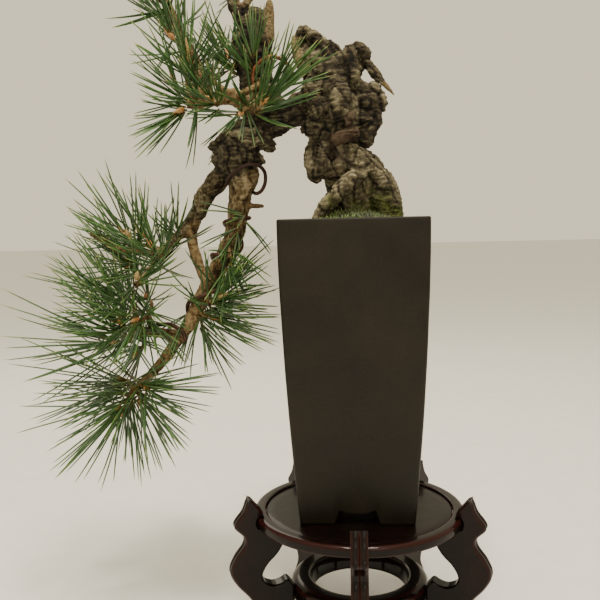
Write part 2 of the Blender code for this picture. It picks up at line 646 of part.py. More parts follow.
def make_wood(seat, bark, wires):
    """Trunk, roots, burls, branches and twigs in one body, grooved where the wires press into it."""
    centres = leafy_centres()
    limbs = root_limbs()
    for index, route in enumerate([*BURLS.values(), *BRANCHES.values()]):
        limbs.append(limb(route, knobbly=0.06 if route[0][3] > 8 else 0.0, phase=index))
    for base, aim, _ in TUFTS.values():
        direction = np.array(aim, float) / np.linalg.norm(aim)
        limbs.append(limb(twig_route(base, direction, centres), sides=6, step=12.0))
    limbs.append(limb(twig_route(BRANCHES["dead_tip"][0][:3], np.array((-1.0, 0.0, 0.3)), centres), sides=6, step=12.0))
    wood = blended(solid("tree_wood", *joined(limbs), seat, bark), WOOD_KEEP)
    boolean(wood, "DIFFERENCE", wires)
    return wood


def wire_routes():
    """Each wire's name, route and radius."""
    wound = wound_route(BRANCHES["cascade"], WOUND_STATIONS, WOUND_RADIUS)
    wires = [("wire_cascade", wound, WOUND_RADIUS)]
    for name, (radius, points) in LOOSE_WIRES.items():
        wires.append((name, smooth_route(points, 3.0), radius))
    return wires


def make_wires(seat, copper):
    """The training wires. Returns fatter copies of them, that groove the bark."""
    grooves = []
    for name, route, radius in wire_routes():
        tube(name, route, radius, seat, copper, sides=7)
        grooves.append(tube(f"groove_{name}", route, radius + FIT_GAP, seat, copper, sides=8))
    return cutter_collection("wire_grooves", grooves)


def grown(route, extra):
    """The route with `extra` added to its radius and to its thick end."""
    rows = np.array(route, float)
    rows[:, 3] += extra
    rows[0, :3] += extra * (rows[0, :3] - rows[1, :3]) / np.linalg.norm(rows[0, :3] - rows[1, :3])
    return rows


def root_limbs(extra=0.0):
    """The trunk and the roots, with `extra` added to their radius."""
    limbs = [limb(grown(TRUNK, extra), sides=14, knobbly=0.07)]
    for index, route in enumerate(ROOTS.values()):
        limbs.append(limb(grown(route, extra), sides=10, knobbly=0.06, phase=index))
    return limbs


def root_room(seat, finish):
    """The trunk and the roots, a little fatter, to make their room in the soil and the moss."""
    return make_cutter(blended(solid("cut_root_room", *joined(root_limbs(ROOT_ROOM)), seat, finish), ROOM_KEEP))


def distance_to_segments(points, starts, ends):
    """The distance from each of some points to each of some segments."""
    along = ends - starts
    lengths = np.maximum((along**2).sum(axis=1), 1e-9)
    share = np.clip(((points[:, None] - starts) * along).sum(axis=2) / lengths, 0, 1)
    nearest = starts + share[..., None] * along
    return np.linalg.norm(points[:, None] - nearest, axis=2)


def segments_of(rows):
    return np.column_stack([rows[:-1, :3], rows[1:, :3], np.maximum(rows[:-1, 3], rows[1:, 3])])


def taken_space():
    """The wood and the wires as fat segments that no needle may touch."""
    routes = [TRUNK, *ROOTS.values(), *BURLS.values(), *BRANCHES.values()]
    stretches = [segments_of(smooth_route(route, 6.0)) for route in routes]
    centres = leafy_centres()
    for base, aim, _ in TUFTS.values():
        direction = np.array(aim, float) / np.linalg.norm(aim)
        stretches.append(segments_of(np.array(twig_route(base, direction, centres))))
    for _, route, radius in wire_routes():
        stretches.append(segments_of(np.column_stack([route, np.full(len(route), radius)])))
    return np.vstack(stretches)


def is_clear(start, end, taken, clearance):
    """True where a needle bundle meets nothing that is taken, nor the pot, nor the stand."""
    points = start + np.linspace(0.0, 1.0, CHECKS_ALONG_SPIKE)[:, None] * (end - start)
    in_pot = (np.abs(points[:, :2]).max(axis=1) < POT_TOP_HALF + POT_ROOM) & (points[:, 2] < POT_HEIGHT + POT_ROOM)
    in_stand = (np.hypot(points[:, 0], points[:, 1]) < STAND_ROOM_RADIUS) & (points[:, 2] < STAND_ROOM_TOP)
    if in_pot.any() or in_stand.any():
        return False
    return bool((distance_to_segments(points, taken[:, :3], taken[:, 3:6]) > taken[:, 6] + clearance).all())


def make_tufts(seat, green):
    """One spiky solid for each shoot: a small core whose facets are drawn out into bundles of needles."""
    rng = np.random.default_rng(SEED)
    taken = taken_space()
    cores = []
    for base, aim, _ in TUFTS.values():
        direction = np.array(aim, float) / np.linalg.norm(aim)
        standoff = TUFT_CORE_RADIUS + TWIG_END_RADIUS * 0.6 + FIT_GAP + SEAT_GAP
        cores.append(np.array(base, float) + direction * standoff)
    taken = np.vstack([taken, [(*core, *core, TUFT_CORE_RADIUS) for core in cores]])
    for index, (name, (base, aim, reach)) in enumerate(TUFTS.items()):
        direction = np.array(aim, float) / np.linalg.norm(aim)
        work = bmesh.new()
        bmesh.ops.create_icosphere(work, subdivisions=2, radius=TUFT_CORE_RADIUS)
        work.faces.ensure_lookup_table()
        shuffled = rng.permutation(len(work.faces))
        order = [i for i in shuffled if work.faces[i].normal @ Vector(direction) > BACKMOST_FACET]
        spikes = 0
        for i in order:
            if spikes == TUFT_SPIKES:
                break
            face = work.faces[i]
            heading = np.array(face.normal) + SPIKE_LEAN * direction
            heading /= np.linalg.norm(heading)
            tip = heading * reach * rng.uniform(SPIKE_SHORTEST, 1.0)
            root = np.array(face.calc_center_median()) + heading * SPIKE_ROOT
            others = taken[np.linalg.norm(taken[:, :3] - cores[index], axis=1) > 0.01]
            if not is_clear(cores[index] + root, cores[index] + tip, others, SPIKE_CLEARANCE / 2 + SPIKE_GAP):
                continue
            apex = work.verts.new(tip)
            corners = list(face.verts)
            work.faces.remove(face)
            for a, b in zip(corners, corners[1:] + corners[:1]):
                work.faces.new((a, b, apex))
            work.faces.ensure_lookup_table()
            taken = np.vstack([taken, [(*(cores[index] + root), *(cores[index] + tip), SPIKE_CLEARANCE / 2)]])
            spikes += 1
        bmesh.ops.translate(work, verts=work.verts, vec=Vector(cores[index]))
        bmesh.ops.scale(work, verts=work.verts, vec=(MM, MM, MM))
        mesh = bpy.data.meshes.new(f"needles_{name}")
        work.to_mesh(mesh)
        work.free()
        mesh.materials.append(green)
        tuft = bpy.data.objects.new(f"needles_{name}", mesh)
        tuft.parent = seat
        bpy.context.scene.collection.objects.link(tuft)


def main():
    clear_scene()
    lacquer = material("dark_rosewood_lacquer", (0.045, 0.014, 0.011), 0.12)
    clay = material("dark_stoneware", (0.040, 0.031, 0.022), 0.55)
    bark = material("pine_bark", (0.105, 0.078, 0.052), 0.9)
    green = material("pine_needles", (0.045, 0.105, 0.030), 0.5)
    moss_finish = material("moss", (0.085, 0.135, 0.030), 0.95)
    soil_finish = material("akadama_soil", (0.16, 0.085, 0.045), 0.95)
    gravel_finish = material("pumice_gravel", (0.36, 0.32, 0.26), 0.9)
    plastic = material("black_plastic_mesh", (0.02, 0.02, 0.02), 0.5)
    copper = material("annealed_copper_wire", (0.16, 0.065, 0.040), 0.45, 0.6)

    seat_place = (POT_X, POT_Y, STAND_RISE)
    seat = empty("pot_seat", seat_place)
    axis = empty("stand_axis", (POT_X + STAND_OFFSET[0], POT_Y + STAND_OFFSET[1], STAND_RISE))

    make_stand(axis, lacquer)
    make_pot(seat, clay)
    make_drain_mesh(seat, plastic, copper)
    make_filling(seat, gravel_finish, soil_finish, moss_finish, root_room(seat, soil_finish))
    grooves = make_wires(seat, copper)
    make_wood(seat, bark, grooves)
    make_tufts(seat, green)


main()
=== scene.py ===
import math

import bpy
import numpy as np
from mathutils import Matrix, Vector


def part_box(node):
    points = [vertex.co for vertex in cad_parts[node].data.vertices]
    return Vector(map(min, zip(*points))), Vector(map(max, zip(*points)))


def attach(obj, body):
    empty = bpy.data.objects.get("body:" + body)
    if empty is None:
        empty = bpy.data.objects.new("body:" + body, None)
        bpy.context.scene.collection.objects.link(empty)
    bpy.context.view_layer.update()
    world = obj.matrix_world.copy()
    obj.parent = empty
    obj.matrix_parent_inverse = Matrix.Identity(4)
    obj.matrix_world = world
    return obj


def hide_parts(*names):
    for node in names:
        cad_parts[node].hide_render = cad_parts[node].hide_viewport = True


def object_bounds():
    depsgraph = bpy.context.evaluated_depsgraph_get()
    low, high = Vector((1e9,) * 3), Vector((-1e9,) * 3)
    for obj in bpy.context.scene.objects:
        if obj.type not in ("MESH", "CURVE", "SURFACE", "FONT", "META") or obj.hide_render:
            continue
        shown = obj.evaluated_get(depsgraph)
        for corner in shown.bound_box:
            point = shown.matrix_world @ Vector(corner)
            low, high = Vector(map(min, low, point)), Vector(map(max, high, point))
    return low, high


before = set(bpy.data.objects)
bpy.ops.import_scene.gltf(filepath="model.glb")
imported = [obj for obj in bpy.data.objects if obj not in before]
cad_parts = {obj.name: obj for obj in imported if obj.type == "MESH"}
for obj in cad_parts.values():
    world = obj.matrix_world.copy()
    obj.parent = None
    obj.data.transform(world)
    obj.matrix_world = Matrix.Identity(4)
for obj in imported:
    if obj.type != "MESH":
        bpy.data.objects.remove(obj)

# A black pine bonsai that cascades from a tall square stoneware pot, on a round lacquered stand.
# Lengths are millimetres from the middle of the pot's foot, with +X right, +Y back and +Z up.

cad_low, cad_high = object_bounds()
pot_low, pot_high = (np.array(corner) * 1000 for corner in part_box("pot"))
rim_low, rim_high = (np.array(corner) * 1000 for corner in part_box("stand_rim"))
SEAT = np.array([*(pot_low + pot_high)[:2] / 2, pot_low[2]])
STAND = np.array([*(rim_low + rim_high)[:2] / 2, pot_low[2]]) - SEAT
GROUND = -SEAT[2]
POT_HEIGHT = pot_high[2] - pot_low[2]
POT_TOP_HALF = (pot_high[0] - pot_low[0]) / 2

rng = np.random.default_rng(20)


# --- Arrays into meshes ---


def unit(vectors):
    """Each vector divided by its length."""
    return vectors / np.maximum(np.linalg.norm(vectors, axis=-1, keepdims=True), 1e-9)


def signed_volume(points, faces):
    """The sum over a fan of triangles of a . (b x c) / 6, above zero when faces point outwards."""
    total = 0.0
    for group in faces:
        first = points[group[:, 0]]
        for k in range(1, group.shape[1] - 1):
            total += np.einsum("ij,ij->", first, np.cross(points[group[:, k]], points[group[:, k + 1]]))
    return total / 6


def placed(name, data):
    """A new object with this data, in the scene."""
    made = bpy.data.objects.new(name, data)
    bpy.context.scene.collection.objects.link(made)
    return made


def piece(name, points, faces, finishes, stands_for=(), marks=None, finish_of=None, crease=None):
    """A mesh at the origin from points in millimetres and groups of equal-sided faces, turned outwards.

    marks are numbers kept at each point for its material, and finish_of numbers the finish of each face."""
    points = np.asarray(points, float).reshape(-1, 3)
    faces = [np.asarray(group, np.int64) for group in faces]
    if signed_volume(points, faces) < 0:
        faces = [group[:, ::-1] for group in faces]
    corners = np.concatenate([group.ravel() for group in faces])
    sizes = np.concatenate([np.full(len(group), group.shape[1]) for group in faces])
    mesh = bpy.data.meshes.new(name)
    mesh.vertices.add(len(points))
    mesh.vertices.foreach_set("co", ((points + SEAT) / 1000).astype(np.float32).ravel())
    mesh.loops.add(len(corners))
    mesh.loops.foreach_set("vertex_index", corners.astype(np.int32))
    mesh.polygons.add(len(sizes))
    mesh.polygons.foreach_set("loop_start", (np.cumsum(sizes) - sizes).astype(np.int32))
    for finish in finishes:
        mesh.materials.append(finish)
    if finish_of is not None:
        mesh.polygons.foreach_set("material_index", np.asarray(finish_of, np.int32))
    mesh.update(calc_edges=True)
    for mark, values in (marks or {}).items():
        mesh.attributes.new(mark, "FLOAT", "POINT").data.foreach_set(
            "value", np.asarray(values, np.float32).ravel(),
        )
    mesh.shade_smooth()
    if crease:
        mesh.set_sharp_from_angle(angle=math.radians(crease))
    obj = placed(name, mesh)
    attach(obj, "root")
    if stands_for:
        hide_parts(*stands_for)
    return obj


def joined(shapes):
    """Several (points, faces) shapes as one, each shape's face numbers moved on by the points before it."""
    points = [np.asarray(shape[0], float).reshape(-1, 3) for shape in shapes]
    starts = np.cumsum([0] + [len(p) for p in points])
    faces = [np.asarray(group) + start for shape, start in zip(shapes, starts) for group in shape[1]]
    return np.vstack(points), faces


def woven(rows, columns, closed_rows=False):
    """Quads of a grid of rows of points whose columns close into rings. The last row may meet the first."""
    here = np.arange(rows * columns).reshape(rows, columns)
    upper = np.roll(here, -1, axis=0) if closed_rows else here[1:]
    lower = here if closed_rows else here[:-1]
    quads = np.stack([lower, np.roll(lower, -1, axis=1), np.roll(upper, -1, axis=1), upper], axis=-1)
    return quads.reshape(-1, 4)


# --- Curves ---


def flowing(points, step):
    """Points about `step` apart on the Catmull-Rom curve through points, whose columns may end in a radius.

    Between b and c the curve is half of 2b + (c - a)t + (2a - 5b + 4c - d)t^2 + (3b - a - 3c + d)t^3."""
    points = np.asarray(points, float)
    ends = np.vstack([2 * points[0] - points[1], points, 2 * points[-1] - points[-2]])
    rows = []
    for a, b, c, d in zip(ends, ends[1:], ends[2:], ends[3:]):
        count = max(1, round(np.linalg.norm((c - b)[:3]) / step))
        t = (np.arange(count) / count)[:, None]
        curve = 2 * b + (c - a) * t + (2 * a - 5 * b + 4 * c - d) * t**2 + (3 * b - a - 3 * c + d) * t**3
        rows.append(0.5 * curve)
    return np.vstack([*rows, points[-1:]])


def across(route):
    """Two unit vectors square to each point's direction, the first as near as can be to the one before."""
    tangents = unit(np.gradient(route, axis=0))
    side = np.cross(tangents[0], (0.0, 1.0, 0.0))
    if np.linalg.norm(side) < 0.1:
        side = np.cross(tangents[0], (1.0, 0.0, 0.0))
    sides = []
    for tangent in tangents:
        side = unit(side - tangent * (side @ tangent))
        sides.append(side)
    sides = np.array(sides)
    return sides, np.cross(tangents, sides), tangents


def round_ended_tube(route, radii, sides):
    """A tube along a route, its ends closed by quarter-circle domes that shrink to a point."""
    dome = np.linspace(math.pi / 2, 0.12, 4)[:-1]
    _, _, tangents = across(route)
    start = route[0] - np.outer(np.sin(dome), tangents[0]) * radii[0]
    end = route[-1] + np.outer(np.sin(dome), tangents[-1])[::-1] * radii[-1]
    route = np.vstack([start, route, end])
    radii = np.concatenate([np.cos(dome) * radii[0] + 0.01, radii, np.cos(dome)[::-1] * radii[-1] + 0.01])
    one, two, _ = across(route)
    angles = np.arange(sides) * 2 * math.pi / sides
    rings = one[:, None] * np.cos(angles)[None, :, None] + two[:, None] * np.sin(angles)[None, :, None]
    points = route[:, None] + rings * radii[:, None, None]
    count = len(route)
    caps = np.array([np.arange(sides)[::-1], np.arange(sides) + (count - 1) * sides])
    return points.reshape(-1, 3), [woven(count, sides), caps]


# --- Noise, as whole arrays ---


def scrambled(cells, salt):
    """A number from 0 to 1 for each whole-number cell: its numbers are multiplied, mixed and cut short."""
    x, y, z = (cells[..., k].astype(np.int64) for k in range(3))
    mixed = (x * 73856093) ^ (y * 19349663) ^ (z * 83492791) ^ (salt * 40503 + 977)
    mixed = ((mixed ^ (mixed >> 13)) * 1274126177) & 0xFFFFFFFF
    mixed = ((mixed ^ (mixed >> 15)) * 2246822519) & 0xFFFFFFFF
    return (mixed ^ (mixed >> 16)) / 4294967295.0


def clouds(points, salt, octaves=3):
    """Smooth noise from -1 to 1: random corner values eased across each cell, in layers each about half as
    strong and half as large as the one before."""
    total = np.zeros(len(points))
    size, weight = 1.0, 1.0
    for octave in range(octaves):
        place = points * size + 17.3 * octave
        cell = np.floor(place)
        t = place - cell
        t = t * t * (3 - 2 * t)
        value = np.zeros(len(points))
        for dx, dy, dz in np.ndindex(2, 2, 2):
            corner = scrambled(cell + (dx, dy, dz), salt + octave)
            value += corner * np.prod(np.where((dx, dy, dz), t, 1 - t), axis=1)
        total += (2 * value - 1) * weight
        size, weight = size * 2.03, weight * 0.5
    return total / (2 - 0.5 ** (octaves - 1))


def cracked(points, salt):
    """For each point, the distance to the nearest seed, how much farther the second seed is, and the
    nearest's own number."""
    cell = np.floor(points)
    best = np.full(len(points), 9.0)
    second = np.full(len(points), 9.0)
    own = np.zeros(len(points))
    for step in np.ndindex(3, 3, 3):
        near = cell + np.array(step) - 1
        seed = near + np.stack([scrambled(near, salt + k) for k in range(3)], axis=1)
        gap = np.linalg.norm(points - seed, axis=1)
        closer = gap < best
        second = np.where(closer, best, np.minimum(second, gap))
        own = np.where(closer, scrambled(near, salt + 7), own)
        best = np.minimum(best, gap)
    return best, second - best, own


def eased(values, low, high):
    """0 below low, 1 above high, and 3t^2 - 2t^3 between them."""
    t = np.clip((values - low) / (high - low), 0, 1)
    return t * t * (3 - 2 * t)


# --- Materials ---


def linear(colour):
    """An sRGB hex colour as linear red, green, blue and 1."""
    values = [int(colour[i:i + 2], 16) / 255 for i in (1, 3, 5)]
    return [v / 12.92 if v <= 0.04045 else ((v + 0.055) / 1.055) ** 2.4 for v in values] + [1.0]


def add(tree, kind, inputs=None, stops=None, **settings):
    """A shader node with its settings. inputs gives sockets a value, a hex colour or a node's output."""
    made = tree.nodes.new("ShaderNode" + kind)
    for key, value in settings.items():
        setattr(made, key, value)
    for key, value in (inputs or {}).items():
        if isinstance(value, bpy.types.NodeSocket):
            tree.links.new(value, made.inputs[key])
        else:
            made.inputs[key].default_value = linear(value) if isinstance(value, str) else value
    if stops:
        elements = made.color_ramp.elements
        while len(elements) < len(stops):
            elements.new(0.5)
        for element, (place, colour) in zip(elements, stops):
            element.position = place
            element.color = linear(colour)
    return made


def finish(name, **settings):
    """A new material with its node tree and Principled shader, whose plain sockets are set by name."""
    made = bpy.data.materials.new(name)
    made.use_nodes = True
    shader = made.node_tree.nodes["Principled BSDF"]
    for key, value in settings.items():
        socket = shader.inputs[key.replace("_", " ")]
        socket.default_value = linear(value) if isinstance(value, str) else value
    return made, made.node_tree, shader


def per_mm(size):
    """A noise node's scale for features of this many millimetres, on coordinates in metres."""
    return 1000.0 / size


def pine_bark():
    # Old black pine bark: corky grey-brown plates that split apart and flake. The plates' faces are
    # weathered pale grey and fresh flakes show rust red. Painted shade and light are in the colour too:
    # nearly black down in the cracks, and lighter on raised plates and on faces turned up.
    made, tree, shader = finish("black_pine_bark", Roughness=0.9, Specular_IOR_Level=0.25)
    place = add(tree, "TexCoord").outputs["Object"]
    plate = add(tree, "Attribute", attribute_name="plate").outputs["Fac"]
    fresh = add(tree, "Attribute", attribute_name="fresh").outputs["Fac"]
    moss = add(tree, "Attribute", attribute_name="moss").outputs["Fac"]
    bare = add(tree, "Attribute", attribute_name="bare").outputs["Fac"]
    young = add(tree, "Attribute", attribute_name="young").outputs["Fac"]
    flakes = add(
        tree, "TexNoise", {"Vector": place, "Scale": per_mm(3.0), "Detail": 5.0, "Roughness": 0.7},
    ).outputs["Fac"]
    uneven = add(tree, "Math", {0: flakes, 1: 0.5, 2: -0.25}, operation="MULTIPLY_ADD").outputs[0]
    shifted = add(tree, "Math", {0: plate, 1: uneven}, operation="ADD").outputs[0]
    # The dark end of this ramp is painted shade in the cracks, and its pale end is partly painted light on
    # raised, upturned bark
    old = add(tree, "ValToRGB", {"Fac": shifted}, stops=[
        (0.16, "#060504"), (0.4, "#1a1610"), (0.6, "#383225"), (0.8, "#5e5844"), (1.0, "#8c856c"),
    ]).outputs[0]
    twig = add(tree, "ValToRGB", {"Fac": shifted}, stops=[
        (0.05, "#150e08"), (0.35, "#44351f"), (0.65, "#6e5a3a"), (1.0, "#968260"),
    ]).outputs[0]
    aged = add(tree, "Mix", {"Factor": young, 6: old, 7: twig}, data_type="RGBA").outputs[2]
    rust = add(tree, "Mix", {"Factor": fresh, 6: aged, 7: "#38231a"}, data_type="RGBA").outputs[2]
    grain = add(tree, "TexNoise", {"Vector": place, "Scale": per_mm(2.2), "Detail": 3.0}).outputs["Fac"]
    dead = add(
        tree, "ValToRGB", {"Fac": grain}, stops=[(0.3, "#473e28"), (0.55, "#75674a"), (0.75, "#9a8b66")],
    ).outputs[0]
    stripped = add(tree, "Mix", {"Factor": bare, 6: rust, 7: dead}, data_type="RGBA").outputs[2]
    tufts = add(tree, "TexNoise", {"Vector": place, "Scale": per_mm(1.6), "Detail": 4.0}).outputs["Fac"]
    green = add(
        tree, "ValToRGB", {"Fac": tufts}, stops=[(0.3, "#29300f"), (0.5, "#5a6a26"), (0.7, "#93a544")],
    ).outputs[0]
    colour = add(tree, "Mix", {"Factor": moss, 6: stripped, 7: green}, data_type="RGBA").outputs[2]
    tree.links.new(colour, shader.inputs["Base Color"])
    layered = add(tree, "Mapping", {"Vector": place, "Scale": (1.0, 1.0, 2.6)}).outputs[0]
    ridges = add(
        tree, "TexNoise",
        {"Vector": layered, "Scale": per_mm(4.0), "Detail": 6.0, "Roughness": 0.65, "Distortion": 0.5},
    ).outputs["Fac"]
    bump = add(tree, "Bump", {"Height": ridges, "Distance": 0.0022, "Strength": 0.9})
    tree.links.new(bump.outputs[0], shader.inputs["Normal"])
    return made


def pine_needle():
    # Living needle: a waxy half-round leaf, deep green with a paler, yellower tip and a brown sheath
    # at its foot. The wax gives it a soft shine along its length.
    made, tree, shader = finish("black_pine_needle", Roughness=0.42, Specular_IOR_Level=0.5)
    along = add(tree, "Attribute", attribute_name="along").outputs["Fac"]
    tint = add(tree, "Attribute", attribute_name="tint").outputs["Fac"]
    leaf = add(tree, "ValToRGB", {"Fac": along}, stops=[
        (0.0, "#4a3820"), (0.05, "#5a5428"), (0.12, "#2f4d22"), (0.6, "#294a26"), (0.9, "#3f6330"),
        (1.0, "#8a8450"),
    ]).outputs[0]
    fresh = add(tree, "ValToRGB", {"Fac": along}, stops=[
        (0.0, "#5c4726"), (0.06, "#6a682e"), (0.15, "#4f7230"), (0.6, "#45682e"), (0.9, "#65863e"),
        (1.0, "#a89c5a"),
    ]).outputs[0]
    mixed = add(tree, "Mix", {"Factor": tint, 6: leaf, 7: fresh}, data_type="RGBA").outputs[2]
    place = add(tree, "TexCoord").outputs["Object"]
    mottle = add(tree, "TexNoise", {"Vector": place, "Scale": per_mm(9.0), "Detail": 2.0}).outputs["Fac"]
    value = add(
        tree, "MapRange", {"Value": mottle, "From Min": 0.3, "From Max": 0.7, "To Min": 0.72, "To Max": 1.2},
    ).outputs[0]
    colour = add(tree, "HueSaturation", {"Color": mixed, "Value": value}).outputs[0]
    tree.links.new(colour, shader.inputs["Base Color"])
    bump = add(tree, "Bump", {"Height": mottle, "Distance": 0.0002, "Strength": 0.4})
    tree.links.new(bump.outputs[0], shader.inputs["Normal"])
    return made


def pine_bud():
    # Winter bud: pointed papery scales, rust brown with pale resinous edges. Painted shade darkens each
    # scale where it comes out from under the one below, and darkens the bud's foot.
    made, tree, shader = finish("black_pine_bud", Roughness=0.6)
    scale = add(tree, "Attribute", attribute_name="along").outputs["Fac"]
    tint = add(tree, "Attribute", attribute_name="tint").outputs["Fac"]
    rust = add(
        tree, "ValToRGB", {"Fac": scale}, stops=[(0.0, "#5a3a1e"), (0.5, "#a5672c"), (1.0, "#d6b27a")],
    ).outputs[0]
    pale = add(
        tree, "ValToRGB", {"Fac": scale}, stops=[(0.0, "#6a5636"), (0.5, "#a8905c"), (1.0, "#d9caa0")],
    ).outputs[0]
    colour = add(tree, "Mix", {"Factor": tint, 6: rust, 7: pale}, data_type="RGBA").outputs[2]
    tree.links.new(colour, shader.inputs["Base Color"])
    place = add(tree, "TexCoord").outputs["Object"]
    fibre = add(tree, "TexNoise", {"Vector": place, "Scale": per_mm(1.2), "Detail": 3.0}).outputs["Fac"]
    bump = add(tree, "Bump", {"Height": fibre, "Distance": 0.0003, "Strength": 0.5})
    tree.links.new(bump.outputs[0], shader.inputs["Normal"])
    return made


def living_moss():
    # Cushion moss: thousands of soft upright tips. It scatters light, so it looks matt and velvety. Its
    # colour is painted shade near the tips' roots and on the mound beneath them, dark brown-green, and
    # painted light towards the tips, bright yellow-green, in random patches.
    made, tree, shader = finish("cushion_moss", Roughness=0.95, Specular_IOR_Level=0.2, Sheen_Weight=0.35)
    place = add(tree, "TexCoord").outputs["Object"]
    along = add(tree, "Attribute", attribute_name="along").outputs["Fac"]
    patch = add(tree, "TexNoise", {"Vector": place, "Scale": per_mm(14.0), "Detail": 4.0}).outputs["Fac"]
    lit = add(tree, "Math", {0: along, 1: 0.45, 2: patch}, operation="MULTIPLY_ADD").outputs[0]
    colour = add(tree, "ValToRGB", {"Fac": lit}, stops=[
        (0.3, "#070903"), (0.5, "#141a07"), (0.68, "#2a3614"), (0.86, "#556a2c"), (1.0, "#8aa04c"),
    ]).outputs[0]
    tree.links.new(colour, shader.inputs["Base Color"])
    tips = add(tree, "TexNoise", {"Vector": place, "Scale": per_mm(1.5), "Detail": 3.0}).outputs["Fac"]
    bump = add(tree, "Bump", {"Height": tips, "Distance": 0.001, "Strength": 1.0})
    tree.links.new(bump.outputs[0], shader.inputs["Normal"])
    return made


def stoneware():
    # Dark wood-fired stoneware: dense brown-black clay with a thin iron-and-ash skin. It is satin, a
    # little rougher in cloudy patches, and its throwing and scraping show as faint flat waves.
    made, tree, shader = finish("dark_iron_stoneware", Specular_IOR_Level=0.2, IOR=1.5)
    place = add(tree, "TexCoord").outputs["Object"]
    cloud = add(
        tree, "TexNoise", {"Vector": place, "Scale": per_mm(60.0), "Detail": 4.0, "Roughness": 0.55},
    ).outputs["Fac"]
    speck = add(tree, "TexNoise", {"Vector": place, "Scale": per_mm(2.0), "Detail": 3.0}).outputs["Fac"]
    body = add(
        tree, "ValToRGB", {"Fac": cloud}, stops=[(0.3, "#14110c"), (0.5, "#19160f"), (0.7, "#201b13")],
    ).outputs[0]
    grains = add(
        tree, "MapRange", {"Value": speck, "From Min": 0.35, "From Max": 0.7, "To Min": 0.85, "To Max": 1.15},
    ).outputs[0]
    colour = add(tree, "HueSaturation", {"Color": body, "Value": grains}).outputs[0]
    tree.links.new(colour, shader.inputs["Base Color"])
    rough = add(
        tree, "MapRange", {"Value": cloud, "From Min": 0.3, "From Max": 0.7, "To Min": 0.38, "To Max": 0.55},
    ).outputs[0]
    tree.links.new(rough, shader.inputs["Roughness"])
    bump = add(tree, "Bump", {"Height": speck, "Distance": 0.00015, "Strength": 0.5})
    tree.links.new(bump.outputs[0], shader.inputs["Normal"])
    return made


def lacquered_rosewood(name, coat):
    # Rosewood stained nearly black under a thick clear lacquer, sprayed and polished. It shows sharp
    # reflections. Its rounded edges are painted dark red: partly the wood showing where the coat is thin,
    # and partly a painted highlight along the edges.
    made, tree, shader = finish(
        name, Coat_Weight=coat, Coat_Roughness=0.05, Coat_IOR=1.5, Specular_IOR_Level=0.05,
    )
    place = add(tree, "TexCoord").outputs["Object"]
    edge = add(tree, "Attribute", attribute_name="edge").outputs["Fac"]
    stretched = add(tree, "Mapping", {"Vector": place, "Scale": (1.0, 6.0, 1.0)}).outputs[0]
    grain = add(
        tree, "TexNoise",
        {"Vector": stretched, "Scale": per_mm(16.0), "Detail": 6.0, "Roughness": 0.65, "Distortion": 0.6},
    ).outputs["Fac"]
    wood = add(
        tree, "ValToRGB", {"Fac": grain}, stops=[(0.35, "#050302"), (0.5, "#0a0504"), (0.68, "#140907")],
    ).outputs[0]
    # Marked edges turn dark red: the wood under a thin coat, and a painted edge highlight
    colour = add(tree, "Mix", {"Factor": edge, 6: wood, 7: "#260e0b"}, data_type="RGBA").outputs[2]
    tree.links.new(colour, shader.inputs["Base Color"])
    rough = add(
        tree, "MapRange", {"Value": grain, "From Min": 0.3, "From Max": 0.7, "To Min": 0.25, "To Max": 0.4},
    ).outputs[0]
    tree.links.new(rough, shader.inputs["Roughness"])
    ripple = add(tree, "TexNoise", {"Vector": place, "Scale": per_mm(11.0), "Detail": 1.0}).outputs["Fac"]
    bump = add(tree, "Bump", {"Height": ripple, "Distance": 0.0004, "Strength": 0.25})
    tree.links.new(bump.outputs[0], shader.inputs["Coat Normal"])
    return made


def annealed_copper():
    # Annealed copper training wire: the fire scale and a few seasons outdoors leave it dull red-brown,
    # with brighter rubbed spots.
    made, tree, shader = finish("annealed_copper_wire", Metallic=0.5)
    place = add(tree, "TexCoord").outputs["Object"]
    scale = add(
        tree, "TexNoise", {"Vector": place, "Scale": per_mm(5.0), "Detail": 5.0, "Roughness": 0.7},
    ).outputs["Fac"]
    bright = add(tree, "Attribute", attribute_name="bright").outputs["Fac"]
    dull = add(
        tree, "ValToRGB", {"Fac": scale}, stops=[(0.3, "#1c110e"), (0.55, "#33201a"), (0.75, "#4a2d24")],
    ).outputs[0]
    rubbed = add(
        tree, "ValToRGB", {"Fac": scale}, stops=[(0.3, "#5a3620"), (0.55, "#84502e"), (0.75, "#a06a42")],
    ).outputs[0]
    colour = add(tree, "Mix", {"Factor": bright, 6: dull, 7: rubbed}, data_type="RGBA").outputs[2]
    tree.links.new(colour, shader.inputs["Base Color"])
    rough = add(
        tree, "MapRange", {"Value": scale, "From Min": 0.3, "From Max": 0.7, "To Min": 0.4, "To Max": 0.65},
    ).outputs[0]
    tree.links.new(rough, shader.inputs["Roughness"])
    return made


def granules(name, colours, size):
    # Fired clay or pumice granules, sieved to one size: matt, porous grains, each palest in its middle
    # and darkest at its edge, which is painted shade in the gaps between grains.
    made, tree, shader = finish(name, Roughness=0.95)
    place = add(tree, "TexCoord").outputs["Object"]
    grain = add(tree, "TexVoronoi", {"Vector": place, "Scale": per_mm(size)})
    colour = add(
        tree, "ValToRGB", {"Fac": grain.outputs["Distance"]},
        stops=[(0.0, colours[0]), (0.45, colours[1]), (0.8, colours[2])],
    ).outputs[0]
    tree.links.new(colour, shader.inputs["Base Color"])
    bump = add(
        tree, "Bump", {"Height": grain.outputs["Distance"], "Distance": 0.002, "Strength": 1.0}, invert=True,
    )
    tree.links.new(bump.outputs[0], shader.inputs["Normal"])
    return made


